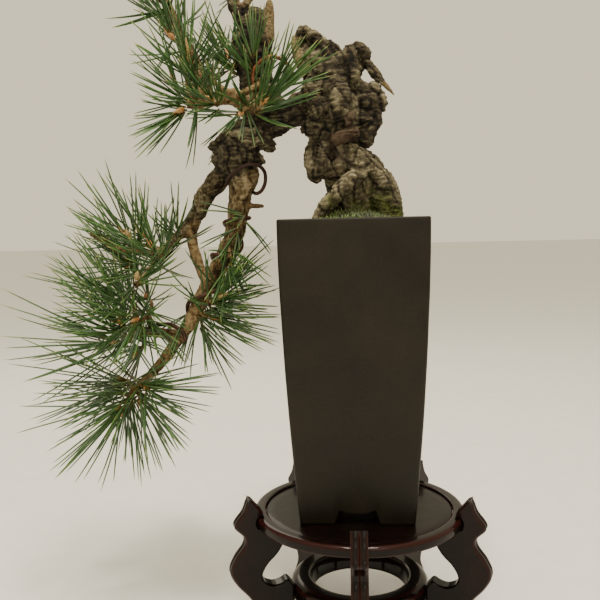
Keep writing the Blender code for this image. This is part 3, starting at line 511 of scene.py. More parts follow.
def moulded_mesh():
    # Injection-moulded polyethylene drainage mesh: matt black with a fine grain from its mould.
    made, tree, shader = finish("black_polyethylene_mesh", Roughness=0.55)
    place = add(tree, "TexCoord").outputs["Object"]
    grain = add(tree, "TexNoise", {"Vector": place, "Scale": per_mm(0.8), "Detail": 2.0}).outputs["Fac"]
    colour = add(tree, "ValToRGB", {"Fac": grain}, stops=[(0.3, "#0c0c0c"), (0.7, "#1c1c1b")]).outputs[0]
    tree.links.new(colour, shader.inputs["Base Color"])
    return made


# --- The pot ---

POT_TAPER = 13.2
POT_BOW = 1.7
POT_WALL = 7.0


def pot_half(z):
    """Half the pot's width: the top's half width less the taper times (1 - z / height) to the power of the
    bow."""
    return POT_TOP_HALF - POT_TAPER * np.clip(1 - np.asarray(z, float) / POT_HEIGHT, 0, 1) ** POT_BOW


def square_rings(halves, corners, sides, turns):
    """Rounded squares as rings of points, one for each half width and corner radius.

    sides are the places along a straight side from -1 to 1, and turns the angles round a corner."""
    halves, corners = np.broadcast_arrays(np.asarray(halves, float), np.asarray(corners, float))
    rings = []
    for quarter in range(4):
        flat = (halves - corners)[:, None]
        side_x = flat * sides
        side_y = -halves[:, None] + 0 * side_x
        turn_x = flat + corners[:, None] * np.sin(turns)
        turn_y = -flat - corners[:, None] * np.cos(turns)
        x, y = np.hstack([side_x, turn_x]), np.hstack([side_y, turn_y])
        c, s = math.cos(quarter * math.pi / 2), math.sin(quarter * math.pi / 2)
        rings.append(np.stack([c * x - s * y, s * x + c * y], axis=-1))
    return np.concatenate(rings, axis=1)


def notch_rise(across_foot):
    """How high the foot's edge is: zero at the corner feet, steep to 12.4 at the notch's ends, and sagging
    between."""
    span = np.abs(across_foot)
    steep = 12.4 * np.clip((20.0 - span) / 4.5, 0, 1)
    return steep - 3.4 * np.clip(1 - (span / 15.5) ** 2, 0, 1)


def make_pot(clay):
    foot_flat = pot_half(0) - 4
    half_side = np.array([2, 5, 8, 11, 13.5, 15.5, 17, 18.5, 20, 22, 27, 34, 40, foot_flat]) / foot_flat
    sides = np.concatenate([-half_side[::-1], [0.0], half_side])
    turns = np.linspace(0, math.pi / 2, 8)[1:-1]
    wall = np.concatenate([[0.8, 2.5, 5, 8, 11, 14, 18, 24], np.linspace(32, POT_HEIGHT - 1.6, 60)])
    inside = np.linspace(POT_HEIGHT - 1.4, 26, 24)
    profile = [(pot_half(0) - 0.9, 4, 0.0, 1.0), (pot_half(0) - 0.25, 4, 0.25, 1.0)]
    profile += [(pot_half(z), 4, z, max(0.0, 1 - z / 30)) for z in wall]
    top = POT_HEIGHT
    profile += [
        (POT_TOP_HALF - 0.15, 4, top - 0.8, 0), (POT_TOP_HALF - 0.6, 4, top - 0.2, 0),
        (POT_TOP_HALF - 1.4, 4, top, 0),
    ]
    profile += [(POT_TOP_HALF - POT_WALL + 1.2, 3, top, 0), (POT_TOP_HALF - POT_WALL + 0.4, 3, top - 0.3, 0)]
    profile += [(pot_half(z) - POT_WALL, 3, z, 0) for z in inside]
    profile += [
        (pot_half(24) - POT_WALL - 2, 3, 23.3, 0), (pot_half(24) - POT_WALL - 4, 3, 23, 0), (10, 10, 23, 0),
        (9, 9, 22, 0),
    ]
    profile += [(9, 9, 14, 0), (10, 10, 13, 0), (38, 4, 13, 0), (41.3, 4, 12.6, 0.03)]
    profile += [(41.3, 4, z, 1 - z / 13) for z in (9, 5, 1)] + [(42.2, 4, 0, 1.0)]
    halves, corners, heights, share = np.array(profile, float).T
    rings = square_rings(halves, corners, sides, turns)
    rise = np.tile(np.concatenate([notch_rise(sides * foot_flat), np.zeros(len(turns))]), 4)
    z = heights[:, None] + share[:, None] * rise
    points = np.concatenate([rings, z[..., None]], axis=-1).reshape(-1, 3)
    # Hand scraping leaves the walls a little wavy
    outward = unit(points * (1, 1, 0))
    wave = 0.30 * clouds(points / 42, 31, 2) + 0.07 * clouds(points / 8, 32, 2)
    on_walls = eased(points[:, 2], 2, 20) * eased(np.abs(points[:, :2]).max(axis=1), 20, 40)
    points = points + outward * (wave * on_walls)[:, None]
    count = len(rise)
    return piece(
        "pot_body", points, [woven(len(profile), count, closed_rows=True)], [clay], ["pot"],
        crease=50,
    )


# --- The stand ---


def turned(name, profile, lacquer, node, segments=192):
    """A closed profile of (radius, z, edge) carried once round the stand's axis."""
    radius, z, edge = np.array(profile, float).T
    angles = np.arange(segments) * 2 * math.pi / segments
    x = STAND[0] + radius[:, None] * np.cos(angles)
    y = STAND[1] + radius[:, None] * np.sin(angles)
    points = np.stack([x, y, z[:, None] + 0 * angles], axis=-1)
    faces = [woven(len(profile), segments, closed_rows=True)]
    marks = {"edge": np.repeat(edge, segments)}
    return piece(name, points, faces, [lacquer], [node], marks, crease=50)


def softened(corners, steps=6):
    """A profile's sharp (radius, z, cut) corners, each replaced by a curve that starts a cut's length before
    the corner, marked by how near the corner it is."""
    cuts = [cut for *_, cut in corners]
    corners = np.array(corners, float)[:, :2]
    rows = []
    for before, here, after, wanted in zip(np.roll(corners, 1, 0), corners, np.roll(corners, -1, 0), cuts):
        cut = min(wanted, 0.45 * np.linalg.norm(before - here), 0.45 * np.linalg.norm(after - here))
        start = here + unit(before - here) * cut
        end = here + unit(after - here) * cut
        for t in np.linspace(0, 1, steps + 1):
            point = (1 - t) ** 2 * start + 2 * t * (1 - t) * here + t**2 * end
            rows.append((*point, math.sin(math.pi * t)))
    return rows


def leg_outline():
    """Side view of a leg as (distance from the axis, height, carved): each stretch is smooth, and they meet
    at corners."""
    foot = GROUND
    ring_face, collar = 62.7, 94.9
    stretches = [
        (1, [
            (102, 18.3), (104, 14.5), (107, 7), (115, -5), (107, -15), (107, -23), (115, -34),
            (119.5, -46), (114, -58), (103, -71), (98, -82), (103, -94), (109, foot),
        ]),
        (0, [(109, foot), (92, foot)]),
        (0, [(92, foot), (88, -92), (78, -84), (ring_face, -79)]),
        (0, [(ring_face, -79), (ring_face, -63)]),
        (0, [
            (ring_face, -63), (68, -57.5), (74, -60), (81, -61), (89, -57), (91, -50), (86, -41),
            (77, -32), (70, -20), (67, -8.3),
        ]),
        (0, [(67, -8.3), (collar, -8.3)]),
        (0, [(collar, -8.3), (collar, 1.8)]),
        (0, [(collar, 1.8), (88.5, 1.8)]),
        (1, [(88.5, 1.8), (90, 7), (95, 13), (99.5, 18.2), (102, 18.3)]),
    ]
    rows = []
    for carved, corners in stretches:
        flat = np.column_stack([np.array(corners, float), np.zeros(len(corners))])
        smooth = flowing(flat, 1.6)[:-1, :2]
        rows.append(np.column_stack([smooth, np.full(len(smooth), carved)]))
    return np.vstack(rows)


def corner_points(flat):
    """Which of a closed outline's points turn by more than about 40 degrees."""
    before = unit(flat - np.roll(flat, 1, 0))
    after = unit(np.roll(flat, -1, 0) - flat)
    return np.einsum("ij,ij->i", before, after) < 0.76


def make_leg(index, lacquer):
    """A board's outline drawn in towards itself at each depth through the board.

    The edge is a pair of rounded beads: the draw-in is 1.5 times ((|y| - 3.4) / 3.4) squared where it is
    carved, and a plain quarter round at the board's faces elsewhere."""
    outline = leg_outline()
    flat, carved = outline[:, :2], outline[:, 2]
    tangent = unit(np.roll(flat, -1, 0) - np.roll(flat, 1, 0))
    inward = np.stack([-tangent[:, 1], tangent[:, 0]], axis=1)
    area = np.sum(flat[:, 0] * np.roll(flat[:, 1], -1) - np.roll(flat[:, 0], -1) * flat[:, 1])
    inward *= np.sign(area)
    half_depth = [0.5, 1.2, 2.2, 3.4, 4.6, 5.6, 6.4, 6.85, 7, 7]
    depth = np.array([*(-y for y in reversed(half_depth)), 0, *half_depth])
    beads = 1.5 * ((np.abs(depth) - 3.4) / 3.4) ** 2
    plain = 1.4 * np.clip((np.abs(depth) - 5.6) / 1.4, 0, 1) ** 2
    cap = np.zeros(len(depth))
    cap[[0, -1]] = 0.8
    drawn = carved[:, None] * beads + (1 - carved)[:, None] * plain + cap
    # Nothing is drawn in at a sharp corner, so that the outline never crosses itself
    gaps = np.linalg.norm(np.roll(flat, -1, 0)[:, None] - flat[None, corner_points(flat)], axis=2).min(axis=1)
    drawn = np.minimum(drawn, 0.5 * np.roll(gaps, 1)[:, None])
    places = flat[None] + inward[None] * drawn.T[..., None]
    turn = -math.pi / 2 + index * 2 * math.pi / 5
    out = np.array([math.cos(turn), math.sin(turn)])
    side = np.array([-math.sin(turn), math.cos(turn)])
    ground_plan = places[..., :1] * out + depth[:, None, None] * side
    points = np.concatenate([ground_plan + STAND[:2], places[..., 1:]], axis=-1)
    count = len(outline)
    caps = np.array([np.arange(count), (np.arange(count) + (len(depth) - 1) * count)[::-1]])
    marks = {"edge": np.tile(carved * 0.8, (len(depth), 1)) * eased(drawn.T, 0.05, 1.2) * (1 - cap[:, None])}
    name = f"stand_leg_{index + 1}"
    faces = [woven(len(depth), count)[:, ::-1], caps]
    return piece(
        f"carved_leg_{index + 1}", points, faces, [lacquer], [name], marks, crease=40,
    )


def make_stand(polished, rubbed):
    rim = softened([(84.4, -8, 2.5), (94.5, -8, 2.5), (94.5, 1.5, 4.4), (84.4, 1.5, 2.0)])
    turned("disc_rim", rim, polished, "stand_rim")
    panel = [(0.05, -0.3, 0)] + [(r, -0.3, 0) for r in (20, 50, 75, 82.6)] + [
        (83.6, -0.7, 1), (84, -1.4, 0), (84, -6.3, 0), (0.05, -6.3, 0),
    ]
    turned("disc_panel", panel, rubbed, "stand_panel")
    ring = softened([(42, -79, 2.4), (62, -79, 2.4), (62, -66, 3.0), (57, -62, 2.6), (45, -62, 2.4)])
    turned("lower_ring", ring, polished, "stand_stretcher_ring")
    for index in range(5):
        make_leg(index, polished)


# --- The tree's wood ---

# Each route is a list of (x, y, z, radius) from its thick end to its thin end
TRUNK = [
    (4, 10, 232, 18), (5, 8, 256, 26), (5, 5, 274, 27), (1, 3, 290, 28), (-7, 0, 305, 26),
    (-14, -3, 320, 24), (-15, -4, 334, 26), (-12, -3, 350, 29), (-13, -1, 368, 29),
    (-18, 1, 384, 28), (-27, 3, 399, 23), (-34, 4, 412, 16), (-39, 5, 421, 9),
]
OLD_WOOD = {
    "root_right": [
        (4, 0, 302, 16), (17, -6, 285, 15), (29, -10, 267, 12), (37, -12, 251, 8), (41, -14, 238, 5),
    ],
    "root_left": [(-4, -2, 292, 14), (-17, -8, 275, 11), (-28, -14, 259, 8), (-36, -18, 244, 5)],
    "root_front": [(2, -4, 280, 11), (3, -14, 266, 8), (4, -24, 246, 5)],
    "root_back_left": [(-4, 10, 276, 16), (-20, 24, 262, 11), (-34, 36, 242, 5)],
    "root_back_right": [(10, 12, 276, 16), (26, 26, 262, 10), (36, 38, 242, 5)],
    "burl_right_high": [(-6, -3, 362, 22), (10, -7, 362, 19), (20, -9, 360, 11)],
    "burl_right_middle": [(-6, -4, 346, 22), (9, -8, 346, 18), (18, -10, 344, 10)],
    "burl_right_low": [(-6, -4, 334, 18), (8, -9, 331, 13), (13, -11, 328, 8)],
    "burl_top": [(-14, 1, 386, 19), (0, 2, 390, 14), (8, 2, 400, 8)],
    "burl_left": [(-14, -3, 318, 18), (-28, -6, 309, 13), (-33, -6, 300, 8)],
    "burl_bend_right": [(-92, -6, 331, 15), (-79, -12, 329, 9), (-72, -14, 326, 6)],
    "burl_bend_left": [(-104, -4, 330, 16), (-117, -2, 329, 9), (-123, -2, 327, 6)],
    "bridge": [
        (-12, -2, 372, 20), (-30, -6, 364, 18), (-46, -8, 355, 15), (-62, -8, 348, 14),
        (-78, -6, 341, 17), (-92, -5, 334, 20), (-101, -5, 325, 21), (-102, -6, 314, 17), (-100, -8, 303, 11),
    ],
}
BRANCHES = {
    "cascade": [
        (-101, -6, 318, 16), (-99, -8, 304, 11.5), (-99, -10, 288, 9.5), (-101, -12, 266, 9),
        (-104, -13, 251, 8.5), (-111, -12, 236, 8), (-128, -8, 208, 7), (-140, -6, 186, 7),
        (-149, -8, 168, 6), (-159, -10, 156, 5.5), (-170, -12, 140, 5), (-185, -14, 124, 4),
        (-201, -14, 109, 3),
    ],
    "second": [
        (-103, -4, 315, 12), (-114, 3, 305, 10), (-126, 8, 293, 9.5), (-137, 12, 281, 8.5),
        (-142, 14, 269, 7.5), (-152, 14, 258, 6), (-163, 8, 245, 4.5), (-173, 0, 234, 3),
    ],
    "tan": [
        (-145, 14, 266, 6), (-148, 12, 247, 5), (-144, 6, 231, 4.8), (-138, 0, 217, 4.6),
        (-131, -7, 205, 4.5),
    ],
    "low_left": [(-157, -10, 158, 5.5), (-173, -8, 161, 5), (-188, -4, 163, 4), (-202, -2, 166, 3)],
    "upper": [
        (-72, -6, 346, 11), (-86, -13, 358, 8.5), (-99, -18, 365, 7), (-113, -20, 366, 6),
        (-134, -20, 361, 4),
    ],
    "upper_left": [
        (-120, -20, 364, 5.5), (-127, -16, 379, 4.8), (-134, -10, 397, 4.8), (-143, -6, 414, 5),
        (-151, -2, 431, 4.6), (-161, 2, 453, 3.8), (-168, 2, 476, 2.8),
    ],
    "stump": [
        (-62, -3, 351, 13), (-78, 6, 368, 15), (-85, 11, 388, 16), (-88, 13, 410, 18), (-87, 14, 428, 17),
        (-85, 14, 438, 12),
    ],
    "prong": [(-92, 12, 424, 9), (-98, 12, 438, 5.5), (-104, 12, 452, 5), (-108, 12, 465, 3)],
    "prong_fork": [(-100, 12, 443, 5), (-90, 14, 457, 4), (-81, 14, 470, 2.6)],
    "crown": [(-104, 12, 450, 5), (-101, 17, 464, 3.6), (-97, 21, 474, 2.6)],
    "pale_prong": [(-75, 10, 422, 8), (-72, 10, 438, 5.2), (-71, 10, 452, 3.5)],
    "jin": [(6, 2, 403, 9), (13, -2, 396, 5.0), (19, -5, 387, 4.6), (24, -7, 381, 4.2), (27, -8, 377, 2.6)],
    "jin_tip": [(25, -8, 379, 2.6), (31, -9, 372, 2.2), (37, -10, 365, 0.9)],
    "torn_edge": [(-49, -5, 417, 2.4), (-47, -9, 406, 4.2), (-44, -11, 394, 4.0), (-43, -11, 388, 2.2)],
    "front_stub": [(-76, 4, 366, 12), (-76, -8, 370, 11), (-77, -19, 367, 8), (-77, -25, 362, 5)],
    "short_stub": [(-98, -12, 275, 4), (-89, -12, 273.5, 2.4), (-84, -12, 273, 2), (-79, -12, 273, 1.8)],
    "dead_tip": [(-200, -4, 236, 2.5), (-212, -6, 237, 3.2), (-226, -8, 248, 3.4), (-234, -10, 252, 2.4)],
}
OLD_BARKED = {"jin": 14.0, "prong": 14.0, "stump": 18.0, "second": 11.0, "prong_fork": 9.0}
TWIGLESS = ("jin", "jin_tip", "torn_edge", "dead_tip", "short_stub")

# Each shoot: where its needles begin, which way it points, its needles' length, how many pairs, and
# how many of its buds show, with their length and how pale they are
SHOOTS = {
    "middle_1": ((-174, -12, 231), (-7, -4, 14), 74, 15, (1, 12, 0.0)),
    "middle_2": ((-190, 8, 245), (-13, 4, 17), 72, 13, (2, 11, 0.0)),
    "middle_3": ((-199, -4, 243), (-13, -4, 18), 70, 12, (2, 13, 0.8)),
    "middle_4": ((-190, -30, 209), (10, -20, 16), 60, 12, (1, 12, 0.9)),
    "middle_5": ((-207, -16, 168), (-13, -8, 17), 84, 17, (3, 12, 0.1)),
    "middle_6": ((-211, 14, 191), (-20, 8, 8), 90, 15, (1, 9, 0.3)),
    "middle_7": ((-210, 26, 218), (-19, 8, 8), 86, 13, (1, 9, 0.3)),
    "middle_8": ((-195, 32, 188), (-14, 16, 10), 64, 11, (1, 8, 0.3)),
    "middle_9": ((-178, 26, 230), (8, 12, 17), 60, 12, (1, 8, 0.2)),
    "middle_10": ((-213, 0, 152), (-24, -2, 2), 108, 17, (1, 9, 0.4)),
    "middle_11": ((-203, 20, 142), (-20, 10, -14), 100, 14, (1, 8, 0.3)),
    "middle_12": ((-186, -26, 178), (-12, -18, -4), 66, 14, (1, 8, 0.3)),
    "tip_1": ((-209, -14, 98), (-11, -2, -14), 96, 22, (3, 11, 0.1)),
    "tip_2": ((-190, -24, 117), (15, -12, -6), 78, 16, (1, 8, 0.3)),
    "tip_3": ((-211, -2, 117), (-20, 8, 0), 106, 15, (1, 9, 0.4)),
    "tip_4": ((-200, 4, 102), (-5, 8, -17), 80, 15, (1, 8, 0.3)),
    "right_1": ((-130, -18, 177), (20, -9, -3), 80, 15, (1, 8, 0.4)),
    "right_2": ((-122, -27, 191), (18, -12, 10), 60, 17, (1, 13, 0.7)),
    "right_3": ((-97, -27, 257), (-8, -8, -18), 46, 7, (0, 8, 0.4)),
    "right_4": ((-107, -27, 229), (-2, -12, -20), 50, 10, (0, 8, 0.4)),
    "right_5": ((-146, 5, 173), (5, 6, -16), 70, 12, (0, 8, 0.4)),
    "right_6": ((-128, 14, 190), (14, 16, 8), 60, 12, (0, 8, 0.4)),
    "upper_1": ((-77, -34, 354), (15, -14, 10), 66, 22, (1, 9, 0.3)),
    "upper_2": ((-90, -36, 352), (-3, -16, -8), 46, 9, (1, 8, 0.3)),
    "upper_3": ((-114, -38, 358), (-5, -14, 4), 54, 13, (1, 9, 0.4)),
    "upper_4": ((-139, -26, 358), (-12, -8, -6), 68, 15, (1, 9, 0.3)),
    "upper_5": ((-146, -18, 368), (-6, -6, 15), 66, 15, (1, 19, 0.7)),
    "upper_6": ((-139, -19, 393), (0, -6, 17), 64, 15, (1, 18, 0.6)),
    "upper_7": ((-149, -12, 415), (-12, -4, 13), 68, 15, (1, 12, 0.3)),
    "upper_8": ((-160, 8, 438), (-15, 10, 12), 62, 14, (1, 9, 0.3)),
    "upper_9": ((-166, -6, 454), (-9, -8, 10), 60, 14, (1, 10, 0.3)),
    "upper_10": ((-169, 2, 481), (-6, 0, 17), 56, 14, (1, 10, 0.2)),
    "upper_11": ((-110, 14, 402), (-4, 10, 20), 60, 16, (1, 12, 0.2)),
    "upper_12": ((-123, 12, 389), (-10, 20, 20), 60, 14, (1, 8, 0.3)),
    "upper_13": ((-104, 14, 356), (-14, 20, -6), 56, 10, (0, 8, 0.3)),
    "crown_1": ((-110, 12, 470), (-8, -4, 16), 56, 13, (1, 10, 0.2)),
    "crown_2": ((-79, 13, 474), (10, -2, 16), 52, 12, (1, 10, 0.2)),
    "crown_3": ((-96, 22, 479), (-2, 12, 20), 56, 12, (1, 9, 0.2)),
}

# How far the needles open from the shoot, in degrees, where it isn't about 74
SPREADS = {
    "middle_10": 44, "middle_11": 50, "tip_3": 44, "right_1": 36, "upper_1": 52, "upper_2": 50, "upper_3": 50,
    "middle_1": 62, "middle_2": 60, "middle_3": 60, "middle_5": 60, "middle_7": 60,
}
# Small shoots beside some of them: start, aim, needle length, pairs and how far they open
SIDE_SHOOTS = {
    "upper_1": [((-84, -9, 392), (1, -5, 18), 50, 16, 60), ((-66, -22, 372), (17, -8, 9), 62, 12, 45)],
    "upper_11": [((-100, 4, 396), (-2, -4, 18), 54, 12, 60)],
    "upper_5": [((-128, -20, 372), (-10, -10, 12), 56, 8, 60)],
    "middle_9": [((-160, 2, 246), (4, -10, 16), 50, 9, 70)],
    "middle_8": [((-196, 4, 222), (-16, -8, 6), 70, 10, 60)],
    "middle_6": [((-205, -8, 186), (-20, -6, 6), 84, 10, 50)],
    "right_6": [((-116, -18, 206), (14, -10, 12), 56, 9, 60)],
    "right_1": [((-126, -20, 186), (12, -8, 14), 56, 12, 62), ((-136, -14, 170), (4, -6, -14), 56, 8, 50)],
    "upper_4": [((-141, -22, 356), (-8, -4, -14), 62, 5, 44)],
    "tip_1": [((-200, -14, 108), (16, -10, -10), 74, 13, 52)],
    "tip_2": [((-208, -16, 100), (-2, -14, -9), 72, 11, 60)],
    "middle_12": [((-185, -22, 176), (4, -12, -15), 62, 11, 60)],
    "middle_5": [((-205, -14, 172), (4, -10, 14), 58, 9, 62), ((-204, -16, 164), (8, -14, -6), 60, 9, 60)],
}

WOUND_RADIUS = 1.9
WOUND_STATIONS = [
    (0.225, -75), (0.240, 0), (0.258, 90), (0.285, 180), (0.330, 270), (0.370, 360), (0.400, 450),
    (0.440, 540),
    (0.490, 630), (0.525, 690), (0.560, 740), (0.600, 800), (0.640, 860),
]
# Lumps of old bark over the front of the trunk, its roots and the bend, as thick short routes
LOBES = {
    "top_left": [(-44, -4, 415, 5.4), (-40, -6, 421, 6.3)],
    "top_middle": [(-31, -12, 416, 5.1), (-25, -12, 407, 5.8), (-22, -12, 397, 6.0)],
    "top_small": [(-19, -8, 410, 4.8), (-15, -8, 406, 4.8)],
    "ridge": [(-1, -18, 401, 5.8), (0, -22, 391, 6.6), (2, -22, 381, 6.6)],
    "jin_foot": [(6, -6, 406, 6.3), (13, -4, 402, 5.4)],
    "breast": [(-8, -24, 370, 7.2), (-9, -29, 360, 9.4), (-11, -29, 348, 8.7), (-11, -26, 341, 6.0)],
    "breast_left": [(-36, -18, 370, 6.0), (-30, -25, 357, 7.0), (-30, -23, 347, 6.6), (-38, -14, 338, 6.0)],
    "right_cap": [(11, -14, 369, 6.0), (18, -14, 368, 7.2)],
    "right_shoulder": [(12, -18, 360, 7.5), (22, -12, 360, 7.5)],
    "right_side": [(24, -8, 355, 5.8), (16, -14, 351, 7.2)],
    "right_shelf": [(12, -16, 344, 6.7), (16, -12, 342, 7.0)],
    "right_under": [(12, -14, 335, 6.7), (15, -10, 334, 6.6)],
    "right_drop": [(12, -10, 328, 5.8), (12, -8, 324, 4.1)],
    "knot": [(-1, -34, 344, 4.1), (-2, -34, 340, 3.6)],
    "red_fold": [(1, -30, 331, 5.5), (-7, -30, 329, 5.5), (-14, -28, 327, 5.3)],
    "left_drop": [(-32, -14, 326, 5.5), (-35, -16, 312, 6.0), (-31, -16, 299, 6.7), (-31, -14, 296, 5.5)],
    "left_slab": [(-23, -24, 321, 4.8), (-24, -26, 310, 5.3), (-20, -22, 298, 4.8)],
    "waist": [(-11, -26, 319, 5.1), (-9, -27, 309, 6.0), (-13, -24, 299, 4.8)],
    "waist_right": [(0, -25, 307, 5.5), (7, -23, 301, 6.0)],
    "root_slab_right": [
        (-2, -22, 318, 6.0), (9, -19, 310, 7.5), (20, -14, 298, 7.5), (30, -14, 283, 7.7),
        (36, -16, 269, 6.3), (39, -16, 256, 4.8),
    ],
    "root_slab_left": [
        (6, -24, 297, 6.4), (-4, -29, 290, 7.0), (-13, -29, 281, 6.6), (-24, -26, 270, 5.6),
        (-33, -24, 256, 4.6),
    ],
    "bend_dome": [(-100, -10, 332, 8.7), (-96, -14, 326, 10.2), (-92, -14, 318, 10.7), (-98, -12, 310, 9.7)],
    "bend_left": [(-122, -6, 326, 4.1), (-117, -6, 321, 5.0)],
    "bend_left_low": [(-120, -6, 315, 5.0), (-116, -6, 309, 4.5)],
    "bend_right": [(-77, -14, 328, 5.8), (-71, -14, 325, 6.0)],
    "bend_drip": [(-83, -12, 316, 4.5), (-79, -12, 311, 3.2)],
    "neck": [(-89, -11, 301, 8.6), (-94, -11, 291, 8.6), (-98, -11, 281, 9.2)],
    "bend_under": [(-109, -8, 306, 6.8), (-107, -8, 302, 5.0)],
    "spur_left": [(-133, -24, 374, 3.6), (-123, -26, 367, 4.4), (-114, -24, 363, 4.4)],
    "spur_top": [(-118, -24, 380, 2.4), (-112, -26, 374, 2.6), (-103, -26, 369, 3.0), (-98, -24, 371, 2.6)],
    "spur_end": [(-141, -18, 385, 2.2), (-140, -20, 375, 2.7), (-137, -22, 362, 4.0)],
    "spur_right": [(-95, -28, 366, 3.0), (-88, -28, 369, 3.2), (-79, -26, 373, 3.4), (-74, -22, 381, 3.0)],
}
CORE_SHARE = 0.86  # how thick the trunk and its roots are beneath those lumps
TWICE_TRUNK_MIDDLE = 4.0
SKIN_GRAIN = 1.36  # the size of the faces of the wood's skin

# Room that needles keep from the pot, the stand and the wood, and how far past the solids' box tips may be
POT_ROOM = 1.2
STAND_ROOM_RADIUS = 124
STAND_ROOM_TOP = 22
WOOD_ROOM = 0.4
TIP_ROOM = (16, 11, 20)
MOSS_TIPS = 5200
BARK_MOSS_TIPS = 2600

LOOSE_WIRES = {
    "wire_bend": (1.6, 0.0, [
        (-110, -16, 292), (-106, -22, 298), (-98, -26, 304), (-88, -27, 308), (-80, -23, 307),
        (-76, -16, 302),
        (-76, -13, 294), (-79, -13, 287), (-84, -13, 284), (-90, -8, 287),
    ]),
    "wire_low_left": (1.9, 0.1, [
        (-190, 4, 160), (-191, -6, 161), (-187, -12, 165), (-179, -14, 169), (-171, -15, 170),
        (-164, -16, 170),
        (-157, -18, 167), (-152, -19, 163), (-150, -20, 157),
    ]),
    "wire_crown": (1.6, 1.0, [
        (-84, -9, 377), (-85, -8, 388), (-80, -9, 396), (-71, -10, 401), (-62, -9, 400), (-54, -6, 394),
        (-50, 0, 386),
    ]),
}


def limb(route, sides=12, step=5.0):
    """A round limb along (x, y, z, radius) points, its radius swelling and shrinking a little as it goes."""
    rows = flowing(route, step)
    swell = 1 + 0.05 * np.sin(np.arange(len(rows)) * 1.7 + rows[0, 0])
    return round_ended_tube(rows[:, :3], rows[:, 3] * swell, sides)


def twig_rows(base, direction, centres):
    """A twig from the nearest branch: the quadratic curve that leaves it and arrives along the shoot."""
    base = np.array(base, float)
    nearest = centres[np.argmin(np.linalg.norm(centres[:, :3] - base, axis=1) - 0.5 * centres[:, 3])]
    start = nearest[:3]
    bend = base - direction * 0.45 * np.linalg.norm(base - start)
    t = np.array([0.0, 0.3, 0.6, 0.8, 1.0])[:, None]
    points = (1 - t) ** 2 * start + 2 * t * (1 - t) * bend + t**2 * base
    return np.hstack([points, 2.8 - 0.9 * t])


def shoot_direction(aim):
    """The unit vector along an aim."""
    return unit(np.array(aim, float))


def all_limbs():
    """Every limb and twig of the tree, with how bare of bark it is, the thickness whose bark it has, and its
    redness."""
    centres = np.vstack([flowing(route, 3.0) for name, route in BRANCHES.items() if name not in TWIGLESS])
    old = [np.array(route, float) * (1, 1, 1, CORE_SHARE) for route in (TRUNK, *OLD_WOOD.values())]
    front = [np.array(route, float) for route in LOBES.values()]
    # The back carries the same kind of lumps, a little higher
    on_trunk = [lobe for lobe in front if lobe[0, 0] > -60 and lobe[0, 2] < 400]
    back = [lobe * (1, -1, 1, 1) + (2, TWICE_TRUNK_MIDDLE, 7, 0) for lobe in on_trunk]
    limbs = [(route, 0.0, 20.0, 0.0) for route in (*old, *back)]
    redness = {"red_fold": 1.0, "knot": 0.8, "waist": 0.3, "short_stub": 0.8}
    for name, lobe in zip(LOBES, front):
        age = 5.0 if name.startswith("spur") else 9.0 if name == "neck" else 18.0
        limbs.append((lobe, 0.0, age, redness.get(name, 0.0)))
    bareness = {"jin_tip": 0.8, "torn_edge": 0.95, "pale_prong": 0.8, "dead_tip": 0.45}
    for name, route in BRANCHES.items():
        limbs.append((route, bareness.get(name, 0.0), OLD_BARKED.get(name), redness.get(name, 0.0)))
    for base, aim, *_ in SHOOTS.values():
        limbs.append((twig_rows(base, shoot_direction(aim), centres), 0.0, None, 0.0))
    dead_twig = twig_rows(BRANCHES["dead_tip"][0][:3], shoot_direction((-1, 0, 0.3)), centres)
    limbs.append((dead_twig, 0.3, None, 0.0))
    return limbs


def melted(shapes, grain, rounds):
    """Overlapping closed shapes as one skin: remeshed on a grid of this size, then each point averaged with
    its neighbours a few times. Returns points, normals and quads."""
    points, faces = joined(shapes)
    corners = [tuple(face) for group in faces for face in group.tolist()]
    mesh = bpy.data.meshes.new("limbs")
    mesh.from_pydata((points / 1000).tolist(), [], corners)
    rough = placed("limbs", mesh)
    skin = rough.modifiers.new("skin", "REMESH")
    skin.mode = "VOXEL"
    skin.voxel_size = grain / 1000
    smooth = rough.modifiers.new("smooth", "SMOOTH")
    smooth.iterations = rounds
    evaluated = rough.evaluated_get(bpy.context.evaluated_depsgraph_get())
    result = evaluated.to_mesh()
    skin_points = np.empty(len(result.vertices) * 3, np.float32)
    result.vertices.foreach_get("co", skin_points)
    normals = np.empty(len(result.vertices) * 3, np.float32)
    result.vertex_normals.foreach_get("vector", normals)
    quads = np.empty(len(result.loops), np.int32)
    result.loops.foreach_get("vertex_index", quads)
    evaluated.to_mesh_clear()
    bpy.data.objects.remove(rough)
    bpy.data.meshes.remove(mesh)
    return skin_points.reshape(
        -1, 3,
    ).astype(float) * 1000, normals.reshape(-1, 3).astype(float), quads.reshape(-1, 4)


def segments(limbs):
    """The starts, ends and mean radii of the limbs' straight pieces, and how many pieces each limb has."""
    rows = [flowing(limb[0], 5.0) for limb in limbs]
    starts = np.vstack([r[:-1, :3] for r in rows])
    ends = np.vstack([r[1:, :3] for r in rows])
    radii = np.concatenate([(r[:-1, 3] + r[1:, 3]) / 2 for r in rows])
    return starts, ends, radii, [len(r) - 1 for r in rows]


def nearest_of(points, starts, ends, radii):
    """For each point, the number of the nearest fat segment and how far outside its surface the point is."""
    along = ends - starts
    lengths = np.maximum((along**2).sum(axis=1), 1e-9)
    index = np.empty(len(points), int)
    gap = np.empty(len(points))
    for low in range(0, len(points), 4000):
        part = points[low:low + 4000, None]
        share = np.clip(((part - starts) * along).sum(axis=2) / lengths, 0, 1)
        away = np.linalg.norm(part - starts - share[..., None] * along, axis=2) - radii
        best = away.argmin(axis=1)
        index[low:low + 4000] = best
        gap[low:low + 4000] = away[np.arange(len(best)), best]
    return index, gap


